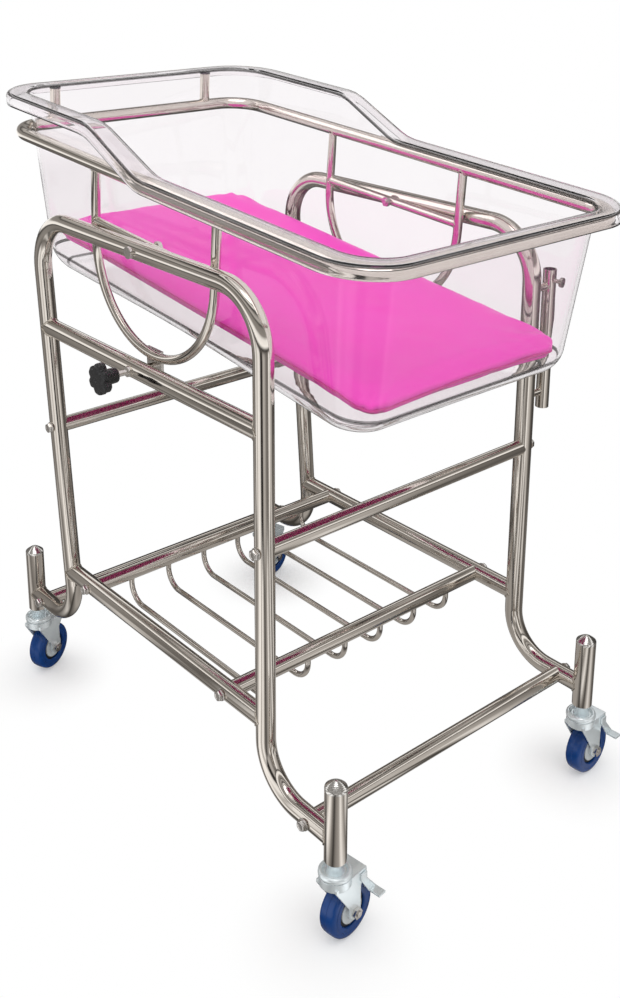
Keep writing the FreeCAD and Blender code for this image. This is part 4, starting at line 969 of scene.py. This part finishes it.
def pad_ring(inset, z):
    """A plan of the pad at a height."""
    flare = PAD_FLARE * z / PAD_THICK
    plan = (PAD_HEAD - flare / 2 + inset, PAD_FOOT + flare / 2 - inset, PAD_HALF + flare - inset,
            max(PAD_BEND - inset, LEAST_BEND))
    return [Vector((x, y, z)) for x, y in round_plan(plan)]


def build_pad():
    """The case before it is filled, lying flat."""
    mesh = bmesh.new()
    add_loft(mesh, [pad_ring(inset, z) for z, inset in PAD_LEVELS])
    return filled("mattress_cover", mesh)


def swell(pad):
    """Blows the case up a little over its foam, as a cover that is filled from inside."""
    remesh = pad.modifiers.new("even", "REMESH")
    remesh.mode = "VOXEL"
    remesh.voxel_size = VOXEL * MM
    apply_modifiers(pad)
    start = [vert.co.copy() for vert in pad.data.vertices]
    cloth = pad.modifiers.new("cloth", "CLOTH")
    cloth.settings.use_pressure = True
    cloth.settings.uniform_pressure_force = CLOTH_PRESSURE
    cloth.settings.effector_weights.gravity = 0
    cloth.settings.quality = 5
    for step in range(1, CLOTH_FRAMES + 1):
        scene.frame_set(step)
    apply_modifiers(pad)
    for vert, was in zip(pad.data.vertices, start):
        shift = vert.co - was
        if shift.length > CLOTH_REACH * MM:
            vert.co = was + shift.normalized() * CLOTH_REACH * MM
    scene.frame_set(1)


def corner_share(x, y):
    """0 away from the pad's corners and 1 at the nearest one, with the way round it."""
    off = Vector(((PAD_FOOT if x > 0 else PAD_HEAD) - x, math.copysign(PAD_HALF, y) - y))
    return max(0.0, 1 - off.length / CORNER_REACH), math.atan2(off.y, off.x)


def corner_droop(x, y):
    """How far a corner of the case hangs down; the one at the near foot has the most slack."""
    return corner_share(x, y)[0] ** 2 * (NEAR_FOOT_DROOP if x > 0 and y < 0 else DROOP)


def crease(pad):
    """Slack folds of the case: soft over the top, tighter and fanned out at the corners."""
    for vert in pad.data.vertices:
        at = vert.co / MM
        share, way = corner_share(at.x, at.y)
        fold = noise.fractal(Vector((at.x * 0.006, at.y * 0.009, 0.3)), 1.0, 2.0, 3)
        ripple = noise.noise(Vector((at.x * 0.035, at.y * 0.035, 2.0)))
        fan = math.sin(way * 9 + 3 * noise.noise(Vector((at.x * 0.02, at.y * 0.02, 5.0))))
        if at.z > PAD_THICK / 2:
            vert.co.z += (1.2 * fold + 0.4 * ripple + CORNER_FOLD * share * fan) * MM
        else:
            vert.co.z += UNDER_FOLD * share * fan * MM
        vert.co.z -= corner_droop(at.x, at.y) * MM
        beside = PAD_HALF - abs(at.y)
        if min(PAD_FOOT - at.x, at.x - PAD_HEAD, beside) < SEAM_EDGE and abs(at.z - SEAM_Z) < SEAM_HALF:
            inward = Vector((-math.copysign(1, at.x) if beside > SEAM_EDGE else 0,
                             -math.copysign(1, at.y) if beside <= SEAM_EDGE else 0, 0))
            vert.co += inward * SEAM_TUCK * MM


def vinyl_recipe(wire):
    """Pink vinyl with a fine leather grain, and painted shade that darkens it where it faces down."""
    place = own_place(wire)
    cloud = grain(wire, place, 7.0, 3.0)
    leather = wire.node("TexVoronoi", {"feature": "DISTANCE_TO_EDGE"}, {"Vector": place, "Scale": 750.0})
    top = blend_tones(cloud, (0.98, 0.050, 0.53), (1.0, 0.080, 0.63))
    # Painted shade: a deep pink where the surface faces down, as the pad's underside looks in its own
    # shadow.
    tone = blend_tones(spread(facing_up(wire), -0.9, 0.35), (0.26, 0.010, 0.10), top)
    return {"Base Color": tone, "Roughness": 0.34 + 0.1 * cloud, "Specular IOR Level": 0.28,
            "Normal": dented(wire, leather, 0.10, 0.0003)}


def welt_recipe(wire):
    """The darker vinyl of the welt."""
    place = own_place(wire)
    cloud = grain(wire, place, 260.0, 2.0)
    tone = blend_tones(cloud, (0.50, 0.012, 0.20), (0.70, 0.030, 0.32))
    return {"Base Color": tone, "Roughness": 0.45 + 0.1 * cloud, "Normal": dented(wire, cloud, 0.10, 0.0003)}


def sew_welt(pad):
    """The welt: a thin covered cord in the seam, laid on the side of the filled case all round it."""
    path = []
    for point in pad_ring(0.0, SEAM_Z):
        drop = corner_droop(point.x, point.y) - WELT_WAVE * noise.noise(point * 0.02)
        point -= Vector((0, 0, drop))
        path.append(pad.closest_point_on_mesh(point * MM)[1] / MM)
    for _ in range(WELT_SMOOTHS):
        path = [(path[step - 1] + point * 2 + path[(step + 1) % len(path)]) / 4
                for step, point in enumerate(path)]
    up = Vector((0, 0, 1))
    rings = []
    for step, point in enumerate(path):
        ahead = (path[(step + 1) % len(path)] - path[step - 1]).normalized()
        rings.append(cord_ring(point, ahead.cross(up).normalized(), up, WELT))
    mesh = bmesh.new()
    add_loft(mesh, rings, round_trip=True)
    bmesh.ops.transform(mesh, matrix=BED, verts=mesh.verts)
    own_piece("mattress_welt", mesh, paint("welt_vinyl", welt_recipe), "mattress", 60)


pad = build_pad()
swell(pad)
soft = pad.modifiers.new("soft", "SUBSURF")
soft.levels = soft.render_levels = 1
settle(pad)
crease(pad)
bpy.context.view_layer.update()
sew_welt(pad)
pad.data.transform(BED)
pad.data.materials.append(paint("pink_vinyl", vinyl_recipe))
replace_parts(pad, "mattress")
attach(pad, "mattress")


bpy.context.view_layer.update()
